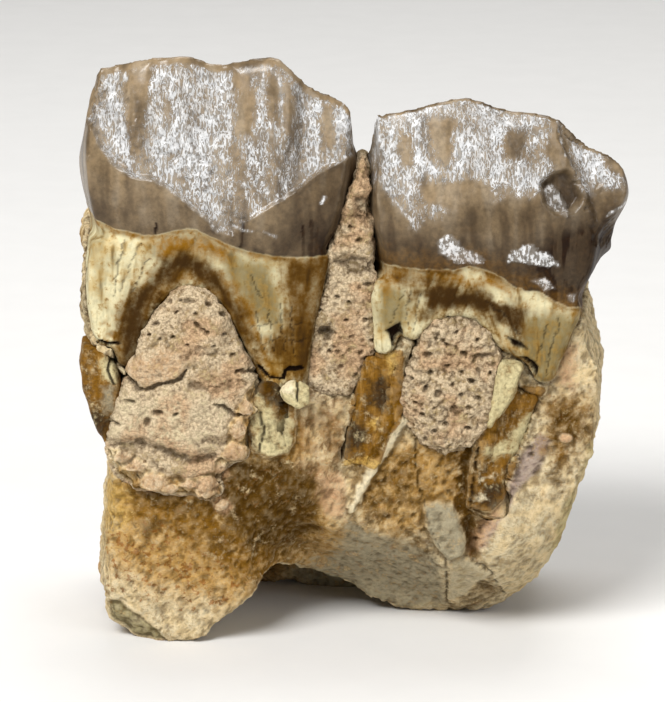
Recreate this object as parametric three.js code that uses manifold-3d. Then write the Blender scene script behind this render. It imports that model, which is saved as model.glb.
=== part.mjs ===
// A piece of fossil jaw from hyracodon, a small running rhinoceros: two upper molars, standing
// crown up in a broken block of jaw bone, with hardened silt between their roots.
// Millimetres. X runs along the tooth row, Y from the cheek side to the tongue side, Z up.
// The cheek side faces -Y. The piece stands on three worn spots of its broken lower edge.

import * as THREE from 'three';
import { mergeVertices } from 'three/addons/utils/BufferGeometryUtils.js';
import Module from 'manifold-3d';

const wasm = await Module();
wasm.setup();
const { lerp, smoothstep } = THREE.MathUtils;

// Driving sizes.
const CLEARANCE = 0.35; // gap between pieces that touch
const CROWN_DEPTH = 22.5; // cheek side to tongue side, at the neck of a molar
const CROWN_CORNER = 0.2; // how round a crown is in plan, from 0, square, to 0.5, an ellipse
const BONE_CORNER = 0.09;
const CROWN_RINGS = 8; // rings of faces up a crown, the second across the enamel's lower edge
const ENAMEL_STEP = 0.55; // how far the enamel's lower edge stands proud of the root
const ENAMEL_LIP = 0.5; // that step starts this far below the edge, and ends as far above it
const TONGUE_LEAN = 3.2; // how far the crown's tongue side leans in towards its top
const ROOT_DEPTH = 6.2; // cheek to tongue thickness of the two cheek-side roots
const ROOT_FACE_Y = 0.7;
const OVERCUT = 0.6; // bone modelled below the resting plane, then cut away

// Straight runs between [position, value] pairs, level beyond both ends.
function course(...pairs) {
  return (at) => {
    const next = pairs.findIndex(([position]) => position >= at);
    if (next === 0) return pairs[0][1];
    if (next < 0) return pairs[pairs.length - 1][1];
    const [a, low] = pairs[next - 1];
    const [b, high] = pairs[next];
    return lerp(low, high, (at - a) / (b - a));
  };
}

// A rise of height 1 at the middle, gone at half its width away.
function swell(at, middle, width) {
  const reach = Math.min(1, Math.abs(at - middle) / (width / 2));
  return 0.5 + 0.5 * Math.cos(Math.PI * reach);
}

// A gentle unevenness that repeats nowhere on the piece, from -1 to 1.
function unevenness(x, y, z) {
  const wide = Math.sin(0.61 * x + 1.3 * Math.sin(0.37 * z)) * Math.cos(0.53 * y + 0.7);
  const fine = Math.sin(1.43 * z + 0.9 * x) * Math.cos(1.27 * y - 0.8 * x + 0.4);
  return 0.6 * wide + 0.4 * fine;
}

// A block of a grid of faces, each corner of which place(u, v, w) puts somewhere:
// u and v run from -1 to 1 along X and Y, and w from 0 to 1 up Z.
function shapedBlock([across, deep, high], place) {
  const block = new THREE.BoxGeometry(2, 2, 2, across, deep, high);
  const spots = block.attributes.position;
  for (let i = 0; i < spots.count; i++) {
    const [x, y, z] = place(spots.getX(i), spots.getY(i), (spots.getZ(i) + 1) / 2);
    spots.setXYZ(i, x, y, z);
  }
  return block;
}

// Plan coordinates with the square's corners rounded off.
function roundedPlan(u, v, corner) {
  return [u * Math.sqrt(1 - corner * v * v), v * Math.sqrt(1 - corner * u * u)];
}

function solidOf(geometry) {
  const bare = geometry.index ? geometry.toNonIndexed() : geometry.clone();
  bare.deleteAttribute('normal');
  bare.deleteAttribute('uv');
  const merged = mergeVertices(bare, 1e-4);
  return new wasm.Manifold(
    new wasm.Mesh({
      numProp: 3,
      vertProperties: new Float32Array(merged.attributes.position.array),
      triVerts: new Uint32Array(merged.index.array),
    }),
  );
}

function joined(solids) {
  return solids.reduce((whole, solid) => whole.add(solid));
}

// What is left of a solid after the others are cut out of it, without loose crumbs.
function cutBy(solid, cutters) {
  const left = cutters.reduce((rest, cutter) => rest.subtract(cutter), solid);
  return left.decompose().sort((a, b) => b.volume() - a.volume())[0];
}

// An outline drawn as seen from the cheek side, made a slab from face to face + depth, with its
// edges rounded off and everything larger by grow.
function slab(outline, { face, depth, edge, grow = 0 }) {
  const shape = new THREE.Shape(outline.map(([x, z]) => new THREE.Vector2(x, z)));
  const solid = new THREE.ExtrudeGeometry(shape, {
    depth: depth - 2 * edge,
    bevelEnabled: true,
    bevelThickness: edge + grow,
    bevelSize: edge,
    bevelOffset: grow - edge,
    bevelSegments: 2,
    steps: 1,
  });
  solid.rotateX(Math.PI / 2);
  solid.translate(0, face + depth - edge, 0);
  return solidOf(solid);
}

// A tapered, slightly flattened stump from its top to its tip.
function stump({ top, tip, topRadius, tipRadius, sides = 10 }, grow = 0) {
  const from = new THREE.Vector3(...tip);
  const to = new THREE.Vector3(...top);
  const length = from.distanceTo(to) + 2 * grow;
  const solid = new THREE.CylinderGeometry(topRadius + grow, tipRadius + grow, length, sides, 2);
  const turn = new THREE.Quaternion().setFromUnitVectors(
    new THREE.Vector3(0, 1, 0),
    to.clone().sub(from).normalize(),
  );
  solid.applyQuaternion(turn);
  const middle = from.add(to).multiplyScalar(0.5);
  solid.translate(middle.x, middle.y, middle.z);
  return solidOf(solid);
}

// The two molars. Left and right edges go by height up the crown, from 0 at the trunk to 1 at
// the chewing edge. The chewing edge and the enamel's lower edge, the neck, go by X.
const FRONT_MOLAR = {
  left: course([0, -21.4], [0.25, -21.8], [0.6, -22.3], [1, -21.7]),
  right: course([0, -2.5], [0.2, -2.1], [0.45, -0.6], [0.75, 0.5], [1, 0.4]),
  edge: course(
    [-21.6, 49.3], [-19.5, 49.6], [-16.8, 50.1], [-13.7, 50.3], [-11.6, 49.5], [-9.4, 49.9],
    [-6.9, 50.3], [-5.4, 49.1], [-4.1, 47.8], [-2, 46.9], [-0.4, 46.0], [0.4, 44.9],
  ),
  neck: course([-21.6, 36.8], [-19, 35.8], [-12.6, 35.7], [-10.4, 34.6], [-6.4, 33.4], [-2, 33.3]),
  trunk: 31.5,
  lophs: [0.27, 0.72],
  roots: [
    [-21.3, 35], [-21.7, 33], [-21.6, 30], [-21.2, 27.3], [-20.7, 26.3], [-19.6, 26],
    [-19.3, 24.3], [-18.5, 24.6], [-17.7, 27], [-16.6, 29.4], [-15.3, 30.8], [-14, 31.4],
    [-12.6, 31.1], [-11.2, 29.9], [-9.9, 27.7], [-8.7, 25], [-7.7, 22.9], [-5.9, 22.1],
    [-4.4, 22.6], [-4.1, 25.4], [-3.6, 28.3], [-2.8, 31.5], [-2.4, 33.5], [-3.2, 35],
  ],
  tongueRoots: [
    { top: [-16.5, 18.4, 33], tip: [-16, 19.4, 19], topRadius: 3, tipRadius: 1.3, sides: 8 },
    { top: [-7, 18.4, 33], tip: [-6.8, 19.4, 18], topRadius: 3, tipRadius: 1.3, sides: 8 },
  ],
};
const REAR_MOLAR = {
  left: course([0, 2.2], [0.3, 1.8], [0.6, 1.1], [1, 1.0]),
  right: course([0, 18.3], [0.2, 18.6], [0.4, 20.3], [0.6, 21.8], [0.8, 22.8], [1, 22.3]),
  edge: course(
    [1.0, 45.3], [4.2, 45.8], [7.1, 46.7], [9.2, 47.0], [11.7, 46.0], [15.4, 45.6],
    [17.1, 44.9], [18.0, 43.4], [20.4, 42.2], [22.2, 40.2], [22.9, 38.8],
  ),
  neck: course([2, 33.1], [6.3, 32.5], [9.6, 33.1], [12.1, 32.2], [14.6, 30.7], [18.6, 29.8]),
  trunk: 28.7,
  lophs: [0.25, 0.68],
  roots: [
    [2.3, 31.5], [1.8, 30], [1.6, 28], [1.6, 25.6], [2.7, 25.4], [3.4, 27.2], [4.9, 26.6],
    [5.9, 27.9], [6.8, 28.5], [8.3, 28.9], [9.9, 28.4], [11, 27.3], [12.1, 25.8], [13, 25.4],
    [14.3, 24.6], [15.2, 22.9], [16.2, 23.1], [17.8, 27.2], [18.5, 29], [17.6, 31],
  ],
  tongueRoots: [
    { top: [6, 18.4, 31], tip: [4.6, 19.4, 17], topRadius: 3, tipRadius: 1.3, sides: 8 },
    { top: [14.6, 18.4, 30], tip: [12.6, 19.4, 16], topRadius: 2.7, tipRadius: 1.2, sides: 8 },
  ],
};

// Relief of the cheek-side face, by the share of the crown's width: ribs below zero, grooves above.
const CHEEK_RIBS = course(
  [0, -0.2], [0.05, -0.35], [0.13, 0.45], [0.25, -0.35], [0.48, 0.5], [0.7, -0.3], [0.86, 0.55],
  [0.97, -0.3], [1, -0.1],
);
const CHEEK_LEAN = course([0, 0.1], [0.2, -0.55], [0.45, -0.15], [0.8, 0.9], [1, 2.0]);

// The chewing surface drops from the high cheek-side wall into a basin, and on to the cusps.
const BASIN = course([0, 0], [3.2, -0.4], [5, -3.6], [8, -5.9], [14, -7.4], [18, -8], [21, -9.6]);
const LOPH_HEIGHT = 2.5;
const LOPH_WIDTH = 6.4;
const LOPH_SLANT = 0.28; // how far a loph runs back along the row for each step across it

function crown(tooth, grow) {
  return shapedBlock([16, 10, CROWN_RINGS], (u, v, w) => {
    const [across, deep] = roundedPlan(u, v, CROWN_CORNER);
    const left = tooth.left(w) - grow;
    const right = tooth.right(w) + grow;
    const share = (across + 1) / 2;
    const x = lerp(left, right, share);
    // Rings 0 and 1 are the bare trunk, and the enamel goes from ring 2 to the chewing surface.
    const ring = Math.round(w * CROWN_RINGS);
    const height = Math.max(0, ring - 2) / (CROWN_RINGS - 2);
    const step = ring < 2 ? ENAMEL_STEP : 0;
    const ribs = CHEEK_RIBS(share) * smoothstep(height, 0.05, 0.6);
    const front = CHEEK_LEAN(height) + ribs + step - grow;
    const back = CROWN_DEPTH - step - TONGUE_LEAN * smoothstep(height, 0.1, 1) + grow;
    const y = lerp(front, back, (deep + 1) / 2);
    const neck = tooth.neck(x);
    const ridge = tooth.lophs
      .map((at) => lerp(tooth.left(1), tooth.right(1), at) + LOPH_SLANT * (y - 4))
      .map((at) => swell(x, at, LOPH_WIDTH))
      .reduce((sum, one) => sum + one);
    const loph = LOPH_HEIGHT * ridge * smoothstep(y, 4, 8) * (1 - smoothstep(y, 18, 22));
    const top = tooth.edge(x) + BASIN(y) + loph + grow;
    if (ring === 0) return [x, y, tooth.trunk - grow];
    if (ring === 1) return [x, y, neck - ENAMEL_LIP];
    return [x, y, lerp(neck + ENAMEL_LIP, top, height)];
  });
}

function molar(tooth, grow = 0) {
  return joined([
    solidOf(crown(tooth, grow)),
    slab(tooth.roots, { face: ROOT_FACE_Y, depth: ROOT_DEPTH, edge: 0.45, grow }),
    ...tooth.tongueRoots.map((root) => stump(root, grow)),
  ]);
}

// The broken-off root tips, which stay in their sockets below the molars.
const FRONT_MOLAR_REAR_TIP = {
  top: [-6.5, 2.9, 21.4], tip: [-7.1, 3.0, 16.3], topRadius: 2.0, tipRadius: 1.6,
};
const REAR_MOLAR_FRONT_TIP = {
  top: [2.0, 2.8, 24.5], tip: [-0.3, 2.9, 15.7], topRadius: 1.65, tipRadius: 1.35,
};
const REAR_MOLAR_REAR_TIP = {
  top: [14.1, 2.7, 21.8], tip: [10.4, 2.9, 11.6], topRadius: 1.5, tipRadius: 1.15,
};
const FRONT_MOLAR_FRONT_TIP = [
  [-22.4, 25.9], [-22.9, 24.4], [-22.8, 22], [-22.3, 20.1], [-21.5, 18.5], [-20.5, 17.9],
  [-19.9, 19.5], [-19.8, 22], [-19.9, 23.7], [-20.6, 25.2],
];
const CHIP = [
  [-6.4, 22.4], [-5.4, 23.2], [-3.9, 22.8], [-3.9, 21.4], [-4.8, 20.8], [-5.9, 21.4],
];
const SPLINTER = [[12.0, 24.6], [13.8, 24.3], [12.9, 21.5], [12.0, 20.1], [11.0, 19.1]];

// The hardened silt, outlined as seen from the cheek side.
const ROCK_IN_FRONT_MOLAR = [
  [-14, 31], [-12.6, 30.7], [-11.3, 29.4], [-10, 27], [-8.8, 24.4], [-8.1, 22.6], [-8.4, 21],
  [-9, 19], [-9.3, 17.4], [-10.4, 16.2], [-11.5, 15.2], [-12, 13.6], [-15.6, 13.4],
  [-18.6, 14.6], [-20, 15.6], [-20.6, 16.9], [-20.3, 18.3], [-19.5, 20], [-19.2, 23],
  [-18.3, 24.6], [-17.6, 27.2], [-16.5, 29.3], [-15.3, 30.5],
];
const ROCK_BETWEEN_MOLARS = [
  [0.75, 42], [1.1, 39.4], [1.7, 36], [1.8, 31], [1.5, 28], [1.3, 25.6], [0.6, 23.6],
  [-1, 21.8], [-3, 22], [-4, 22.6], [-3.9, 25], [-3.3, 28.5], [-2.3, 32.2], [-1.4, 36],
  [0.1, 40],
];
const ROCK_IN_REAR_MOLAR = [
  [7.2, 28.2], [8.4, 28.6], [10, 28], [11.1, 26.7], [11.8, 25], [11.6, 22.6], [11, 20.3],
  [10.2, 18.3], [8.8, 17.2], [7.1, 17], [5.1, 18.3], [4, 20.4], [4.1, 22.5], [5, 25.6],
  [6.1, 27.6],
];
const FRONT_ROCK = { face: -0.3, depth: 5.2, edge: 0.9 };
const MIDDLE_ROCK = { face: 1.5, depth: 6, edge: 0.35 };
const REAR_ROCK = { face: 0.5, depth: 4.6, edge: 0.8 };

// The bone block: its sides by height, and its lower edge by X, along the cheek side and
// along the tongue side. The lower edge arches up between two feet on the cheek side.
const BONE_LEFT = course(
  [0, -20.9], [2.5, -21.2], [10, -20.6], [16, -20.7], [19, -21.4], [23, -21.8], [27, -22.5],
  [31, -22.6], [36, -22.2],
);
const BONE_RIGHT = course(
  [0, 10], [1.5, 12.2], [3.2, 14], [6, 17.2], [10, 18.2], [16, 20.1], [20, 20.9], [25, 21.1],
  [28, 20.2], [31, 19.2],
);
const CHEEK_EDGE = course(
  [-21.2, 2.8], [-17.2, -0.5], [-13.2, -0.5], [-10.4, 2.9], [-9.1, 4.4], [-7.7, 5.6],
  [-6, 6.7], [-4, 6.6], [-1.2, 4.6], [2.1, 2.6], [5.5, 0.9], [7.2, -0.5], [9.4, -0.5],
  [12, 1.0], [14, 2.6], [17, 6],
);
const TONGUE_EDGE = course([-20, 5], [-12, 1.5], [-10, -0.5], [11, -0.5], [13, 1.5], [19, 6]);
const UNDERSIDE_HOLLOW = 3.2; // how far the underside lifts between the cheek and tongue sides
const BONE_TOP = course([-22, 34.2], [-2, 32.6], [2, 31.6], [19, 29.6]);
const LOBE_Y = 0.3; // the lobe under the front molar, at the cheek side
const PLATE_Y = 1.6; // the cheek side of the rest, which falls back towards its foot
const PLATE_FOOT_Y = 9.0;
const PLATE_FALL = 9.5; // the height at which it starts to fall back
const BACK_Y = 21.6; // the tongue side, at the resting plane
const BACK_LEAN = 2.2; // how far it leans out above
const BACK_SHELF = { out: 1.3, z: 27, width: 9 };

function boneFace(x, z) {
  const lobe = LOBE_Y + 0.1 * Math.max(0, 3 - z);
  const plate = lerp(PLATE_Y, PLATE_FOOT_Y, smoothstep(PLATE_FALL - z, 0, PLATE_FALL));
  return lerp(lobe, plate, smoothstep(x, -9.5, -1));
}

function boneBack(x, z) {
  const shelf = BACK_SHELF.out * swell(z, BACK_SHELF.z, BACK_SHELF.width);
  return BACK_Y + BACK_LEAN * smoothstep(z, 2, 16) + shelf + 0.5 * unevenness(x, 0, z);
}

function boneFloor(x, y) {
  const front = CHEEK_EDGE(x);
  const back = TONGUE_EDGE(x);
  const hollow = UNDERSIDE_HOLLOW * swell(y, 13.6, 9) * (1 - smoothstep(Math.abs(x + 3), 14, 18));
  return Math.max(-OVERCUT, lerp(front, back, smoothstep(y, 10.5, 17.5))) + hollow;
}

function boneBlock() {
  return shapedBlock([20, 9, 12], (u, v, w) => {
    const [across, deep] = roundedPlan(u, v, BONE_CORNER);
    const roughHeight = 33 * w;
    const share = (across + 1) / 2;
    const x = lerp(BONE_LEFT(roughHeight), BONE_RIGHT(roughHeight), share);
    const front = boneFace(x, roughHeight);
    const y = lerp(front, boneBack(x, roughHeight), (deep + 1) / 2);
    const z = lerp(boneFloor(x, y), BONE_TOP(x), w);
    const rough = 0.25 * unevenness(x, y, z) * smoothstep(z, 0, 2);
    return [x + rough * u, y + rough * v, z];
  });
}

// Everything on the far side of a plane through a point, to break a corner off or to cut the
// three feet flat at the resting plane.
function beyond(point, direction) {
  const size = 90;
  const half = new THREE.BoxGeometry(size, size, size);
  half.translate(0, 0, size / 2);
  const turn = new THREE.Quaternion().setFromUnitVectors(
    new THREE.Vector3(0, 0, 1),
    new THREE.Vector3(...direction).normalize(),
  );
  half.applyQuaternion(turn);
  half.translate(...point);
  return solidOf(half);
}
const RESTING_PLANE = beyond([0, 0, 0], [0, 0, -1]);
const BROKEN_CORNERS = [
  beyond([-18.0, 0.6, 2.1], [-0.42, -0.75, -0.62]), // the lobe's lower outer corner
  beyond([11.6, 6.6, 3.2], [0.5, -0.62, -0.6]), // beside the right-hand foot
  beyond([19.6, 3.4, 16], [0.86, -0.5, -0.28]), // the long edge below the rear molar
];

const molars = [FRONT_MOLAR, REAR_MOLAR].map((tooth) => molar(tooth));
const grownMolars = [FRONT_MOLAR, REAR_MOLAR].map((tooth) => molar(tooth, CLEARANCE));

const frontTipSlab = { face: 0.8, depth: 4.2, edge: 0.5 };
const splinterSlab = { face: 0.2, depth: 1.5, edge: 0.25 };
const chipSlab = { face: -0.65, depth: 1.0, edge: 0.25 };
const tips = {
  front_molar_front_root_tip: (grow) => slab(FRONT_MOLAR_FRONT_TIP, { ...frontTipSlab, grow }),
  front_molar_rear_root_tip: (grow) => stump(FRONT_MOLAR_REAR_TIP, grow),
  rear_molar_front_root_tip: (grow) => stump(REAR_MOLAR_FRONT_TIP, grow),
  rear_molar_rear_root_tip: (grow) => stump(REAR_MOLAR_REAR_TIP, grow),
  rear_molar_root_splinter: (grow) => slab(SPLINTER, { ...splinterSlab, grow }),
  front_molar_root_chip: (grow) => slab(CHIP, { ...chipSlab, grow }),
};
const grownTips = Object.values(tips).map((make) => make(CLEARANCE));
const grownSplinter = tips.rear_molar_root_splinter(CLEARANCE);

const rocks = {
  rock_in_front_molar: (grow) => slab(ROCK_IN_FRONT_MOLAR, { ...FRONT_ROCK, grow }),
  rock_between_molars: (grow) => slab(ROCK_BETWEEN_MOLARS, { ...MIDDLE_ROCK, grow }),
  rock_in_rear_molar: (grow) => slab(ROCK_IN_REAR_MOLAR, { ...REAR_ROCK, grow }),
};
const grownRocks = Object.values(rocks).map((make) => make(CLEARANCE));

// Colours, roughness and metalness of what shows.
const STAINED_BONE = new THREE.MeshStandardMaterial({ color: 0xb8a06c, roughness: 0.8 });
const ENAMEL = new THREE.MeshStandardMaterial({ color: 0x7d6f60, roughness: 0.3 });
const SILTSTONE = new THREE.MeshStandardMaterial({ color: 0xb59e86, roughness: 0.95 });
const AMBER_DENTINE = new THREE.MeshStandardMaterial({ color: 0x80561a, roughness: 0.45 });
const PALE_DENTINE = new THREE.MeshStandardMaterial({ color: 0xc9c2a0, roughness: 0.6 });

const group = new THREE.Group();

function addPiece(name, solid, material) {
  const { vertProperties, triVerts } = solid.getMesh();
  const geometry = new THREE.BufferGeometry();
  geometry.setAttribute('position', new THREE.BufferAttribute(vertProperties, 3));
  geometry.setIndex(new THREE.BufferAttribute(triVerts, 1));
  const faceted = geometry.toNonIndexed();
  faceted.computeVertexNormals();
  const mesh = new THREE.Mesh(faceted, material);
  mesh.name = name;
  group.add(mesh);
}

const bone = cutBy(solidOf(boneBlock()), [
  ...grownMolars, ...grownTips, ...grownRocks, ...BROKEN_CORNERS, RESTING_PLANE,
]);
addPiece('jaw_bone', bone, STAINED_BONE);
addPiece('front_molar', molars[0], ENAMEL);
addPiece('rear_molar', molars[1], ENAMEL);
for (const [name, make] of Object.entries(rocks)) {
  addPiece(name, cutBy(make(0), [...grownMolars, ...grownTips]), SILTSTONE);
}
for (const [name, make] of Object.entries(tips)) {
  const loose = name === 'rear_molar_root_splinter' || name === 'front_molar_root_chip';
  const cutters = loose ? grownMolars : [...grownMolars, grownSplinter];
  addPiece(name, cutBy(make(0), cutters), loose ? PALE_DENTINE : AMBER_DENTINE);
}

// The origin is the middle of the piece's box, on the plane that it rests on.
const box = new THREE.Box3().setFromObject(group);
const middle = box.getCenter(new THREE.Vector3());
for (const mesh of group.children) mesh.position.set(-middle.x, -middle.y, -box.min.z);

export default group;
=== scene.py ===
"""Looks of a fossil hyracodon jaw piece: two molars in stained bone and pitted silt.

Each piece starts from its solid in the frame, is remeshed finely, and is then carved and
stained. Marks that the front shows are placed in picture pixels, in a picture of 665 by 702
pixels seen by the front camera, and every vertex knows the pixel that it shows at.
"""

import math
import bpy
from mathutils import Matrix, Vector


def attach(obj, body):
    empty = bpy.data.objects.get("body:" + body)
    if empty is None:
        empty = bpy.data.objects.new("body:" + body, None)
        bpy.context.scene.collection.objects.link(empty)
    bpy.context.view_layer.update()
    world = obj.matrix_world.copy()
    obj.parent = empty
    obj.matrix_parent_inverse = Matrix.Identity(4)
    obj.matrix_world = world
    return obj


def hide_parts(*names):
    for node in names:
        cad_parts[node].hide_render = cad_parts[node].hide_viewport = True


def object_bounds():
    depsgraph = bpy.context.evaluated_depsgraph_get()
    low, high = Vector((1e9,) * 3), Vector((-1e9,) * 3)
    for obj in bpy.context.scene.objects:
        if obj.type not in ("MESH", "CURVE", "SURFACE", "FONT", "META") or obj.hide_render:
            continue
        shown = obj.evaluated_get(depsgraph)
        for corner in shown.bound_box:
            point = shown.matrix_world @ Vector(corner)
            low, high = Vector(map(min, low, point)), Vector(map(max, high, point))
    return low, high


bl_info = {
    "name": "Fossil Jaw Piece",
    "version": (1, 0, 0),
    "blender": (4, 5, 0),
    "location": "View3D > Sidebar > Fossil Jaw",
    "description": "Carves and stains the teeth, bone and silt of a fossil jaw piece",
    "category": "Object",
}

import bmesh
import bpy
import numpy as np
from mathutils import Euler, Matrix, Vector
from mathutils.bvhtree import BVHTree

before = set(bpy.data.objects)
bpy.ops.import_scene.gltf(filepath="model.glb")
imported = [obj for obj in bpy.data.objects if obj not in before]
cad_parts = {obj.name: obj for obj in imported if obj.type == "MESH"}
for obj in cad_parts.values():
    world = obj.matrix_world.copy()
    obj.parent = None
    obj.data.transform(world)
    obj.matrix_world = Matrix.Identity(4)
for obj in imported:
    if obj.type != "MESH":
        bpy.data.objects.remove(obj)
CAD_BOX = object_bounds()

MM = 0.001
PICTURE = (665, 702)
PIXELS_PER_MM = 11.6
CAMERA_DISTANCE = 320 * MM
CAMERA_HEIGHT_ANGLE = math.radians(15)
MIDDLE_PIXEL = (354.5, 323.0)  # where the middle of the piece shows in the picture
FRONT_PLANE = CAD_BOX[0][1]  # the cheek side


# Outlines and lines as the picture shows them, in its pixels

def path(text):
    """Points of an outline or a line, each as its numbers with commas between."""
    return [tuple(float(number) for number in spot.split(",")) for spot in text.split()]


def paths(text):
    """Several outlines or lines, set apart by slashes."""
    return [path(part) for part in text.split("/")]


# The front molar's crown. The enamel ends at its neck line, and a ridge like a wide V parts the
# frosted upper face, with its painted silvery sheen, from the two smooth bulges below.
FRONT_NECK = path("""
    60,214 91,217 101,222 114,229 128,231 143,235 160,235 173,231 187,229 196,229 204,234 216,239
    229,245 250,252 273,256 300,258 326,256 332,248 380,240
""")
FRONT_FROSTED_SHEEN = path("""
    70,95 94,130 102,150 114,165 133,177 152,180 171,190 187,203 204,216 217,232 232,236 252,218
    280,201 300,188 319,172 338,163 380,140 380,40 70,40
""")
FRONT_V_RIDGE_LEFT = FRONT_FROSTED_SHEEN[1:10]
FRONT_V_RIDGE_RIGHT = FRONT_FROSTED_SHEEN[11:16]
FRONT_RIBS = [
    (path("126,66 152,62 146,120 136,156 124,120"), 0.4),
    (path("98,80 124,80 124,140 112,150 100,120"), -0.2),
    (path("160,76 226,76 222,130 200,176 170,160"), -0.3),
    (path("232,66 280,60 296,84 294,140 262,150 238,138"), 0.4),
    (path("298,92 318,100 312,150 300,168 296,130"), -0.3),
    (path("320,100 350,108 352,150 334,160 318,140"), 0.25),
]
FRONT_PLAIN = paths("""
    126,72 156,66 152,92 144,120 140,150 128,158 124,110 /
    161,100 172,100 174,124 164,128 /
    234,70 253,70 256,100 254,134 240,140 234,110 /
    265,72 272,72 279,98 280,122 266,122 /
    283,74 292,82 296,110 294,140 284,130 /
    322,104 334,106 334,126 332,148 320,146 318,122
""")
FRONT_SPARSE = path("236,150 268,140 290,150 304,160 276,200 246,226 232,200")
FRONT_BRIGHT_SHEEN = paths("""
    97,70 125,70 122,98 128,140 126,162 112,150 100,110 /
    148,74 196,68 234,72 234,96 228,140 214,178 180,176 150,160 146,120 /
    296,90 316,98 345,100 350,124 342,152 320,168 300,180 304,150 312,120
""")
FRONT_PAINTED_GLINTS = paths("""
    264,69 263,100 264,128 /
    272,70 279,84 281,100 281,128 /
    343,99 338,128 338,152 /
    262,132 276,136 283,130 /
    234,227 240,230 252,232 /
    264,232 276,237 /
    322,203 325,197
""")
FRONT_CROWN_STAINS = paths("""
    303,226 303,256 /
    312,222 311,257 /
    317,228 316,256 /
    156,224 155,234 /
    243,226 240,250
""")

# The front molar's roots
FRONT_GREY_ROOT = path("218,250 272,262 280,290 282,326 262,330 250,322 238,302 226,280")
FRONT_AMBER = path("150,240 176,232 204,232 230,246 226,262 204,262 190,252 168,262 156,262")
FRONT_FURCATION = path("""
    148,276 162,256 184,252 206,262 222,276 236,300 252,330 262,352 240,330 218,300 200,284
    184,276 166,288 150,312 146,346 136,372 122,366 118,336 124,304 134,288
""")
FRONT_ARCH = path("118,372 124,336 138,308 158,284 189,273 212,280 236,308 252,338 268,376")
FRONT_REAR_ROOT_BROWN = path("""
    280,258 350,250 344,288 332,320 320,356 310,384 282,380 270,368 262,350 280,330 284,300
""")
FRONT_REAR_ROOT_YELLOW = path("262,362 282,350 300,344 306,372 290,380 266,384")
FRONT_ROOT_HAIRLINES = paths("""
    150,258 138,280 128,300 /
    126,240 118,270 112,300 /
    140,244 132,262 120,290 /
    250,272 258,292 262,300 /
    256,312 258,330 264,350 /
    268,308 270,330 274,352 /
    280,304 282,330 284,350 /
    292,306 292,336 294,356 /
    254,326 276,322 300,324 /
    262,344 280,338 304,340
""")

# The rear molar's crown
REAR_NECK = path("""
    340,262 383,264 406,268 427,270 454,270 469,266 484,270 502,277 513,287 527,291 542,293
    553,300 567,307 584,308 640,300
""")
REAR_FROSTED_SHEEN = path("""
    360,150 370,163 379,186 398,206 410,222 440,216 456,206 480,198 520,196 544,188 560,150
    580,190 596,184 622,186 640,160 560,90 360,90
""")
REAR_PLAIN = paths("""
    427,120 455,118 452,150 446,164 438,158 432,140 /
    398,130 412,132 414,160 404,172 397,150 /
    506,130 524,134 530,158 508,162 498,146 /
    552,118 566,130 578,176 566,180 552,166 545,150 552,130 /
    420,184 480,180 500,196 470,214 430,208 /
    596,150 632,165 634,180 612,176
""")
REAR_BRIGHT_SHEEN = paths("""
    372,110 398,114 420,106 430,140 426,170 400,200 384,180 372,140 /
    440,100 500,104 524,118 526,160 548,176 536,190 470,176 452,160 /
    586,138 606,150 620,166 622,180 604,196 594,184
""")
REAR_PAINTED_GLINTS = paths("""
    378,176 394,200 412,222 /
    556,112 562,132 566,156 /
    480,116 504,122 518,126 /
    608,216 622,208 632,200
""")
REAR_WHITE = paths("""
    438,240 450,234 464,248 486,260 484,265 458,264 440,254 /
    506,262 512,250 534,244 538,252 548,252 560,266 540,266 522,262 /
    532,280 546,278 556,288 544,290 /
    568,294 576,294 575,302 569,300
""")
REAR_PIT = path("540,184 552,174 568,171 580,180 585,198 574,212 556,214 546,202")
REAR_PIT_CRUST = path("543,189 551,185 564,194 573,208 566,217 552,208")
REAR_EVENED = path("556,112 584,136 592,170 632,210 626,262 594,284 572,240")
REAR_LOBE_GROOVE = path("568,132 580,160 592,184 600,208 602,236")

# The rear molar's roots
REAR_NECK_STAIN = path("""
    378,262 404,266 450,270 470,264 500,276 526,290 566,306 590,308 582,320 552,312 516,304
    486,290 450,284 404,284 384,290
""")
REAR_NECK_BROWN = path("386,270 430,274 460,284 488,290 488,312 452,304 424,292 396,286")
REAR_UNDERSIDE = path("566,214 650,214 650,306 566,306")
REAR_FURCATION = path("""
    404,292 440,286 474,288 508,300 540,316 538,338 522,346 500,322 470,308 440,310 420,322
    404,312
""")
REAR_SHADED_GAPS = paths("""
    386,330 400,323 403,338 400,346 393,346 /
    520,358 528,357 538,368 534,378 522,370 /
    508,338 522,343 528,350 514,346
""")
REAR_GREY_PATCHES = paths("""
    380,288 404,286 412,300 404,330 384,334 374,310 /
    524,316 556,312 584,314 566,350 548,388 528,380 520,350
""")
REAR_CREAM_PATCHES = paths("""
    512,288 530,290 552,304 556,312 534,308 514,300 /
    466,268 482,270 484,280 472,282 464,276 /
    488,286 506,292 512,304 498,302 488,296 /
    372,292 384,292 382,350 373,352 /
    384,296 426,296 430,308 412,322 386,326
""")
REAR_ROOT_HAIRLINES = paths("""
    404,290 396,310 392,322 /
    412,292 406,312 408,326 /
    420,294 416,312 414,330 /
    548,322 540,350 532,372 /
    560,320 552,350 546,376 /
    484,300 506,316 520,336
""")

# Where the roots have broken off, with a painted shadow in the gap under each break, and the points
# that the fibres of each root run to
FRONT_ROOT_BREAK_SHADOWS = paths("""
    88,334 97,341 108,344 119,343 /
    258,367 270,377 283,379 285,370 303,368
""")
ROOT_AIMS = {
    "front_molar": path("98,440 292,460"),
    "rear_molar": path("386,440 548,450"),
}

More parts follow.
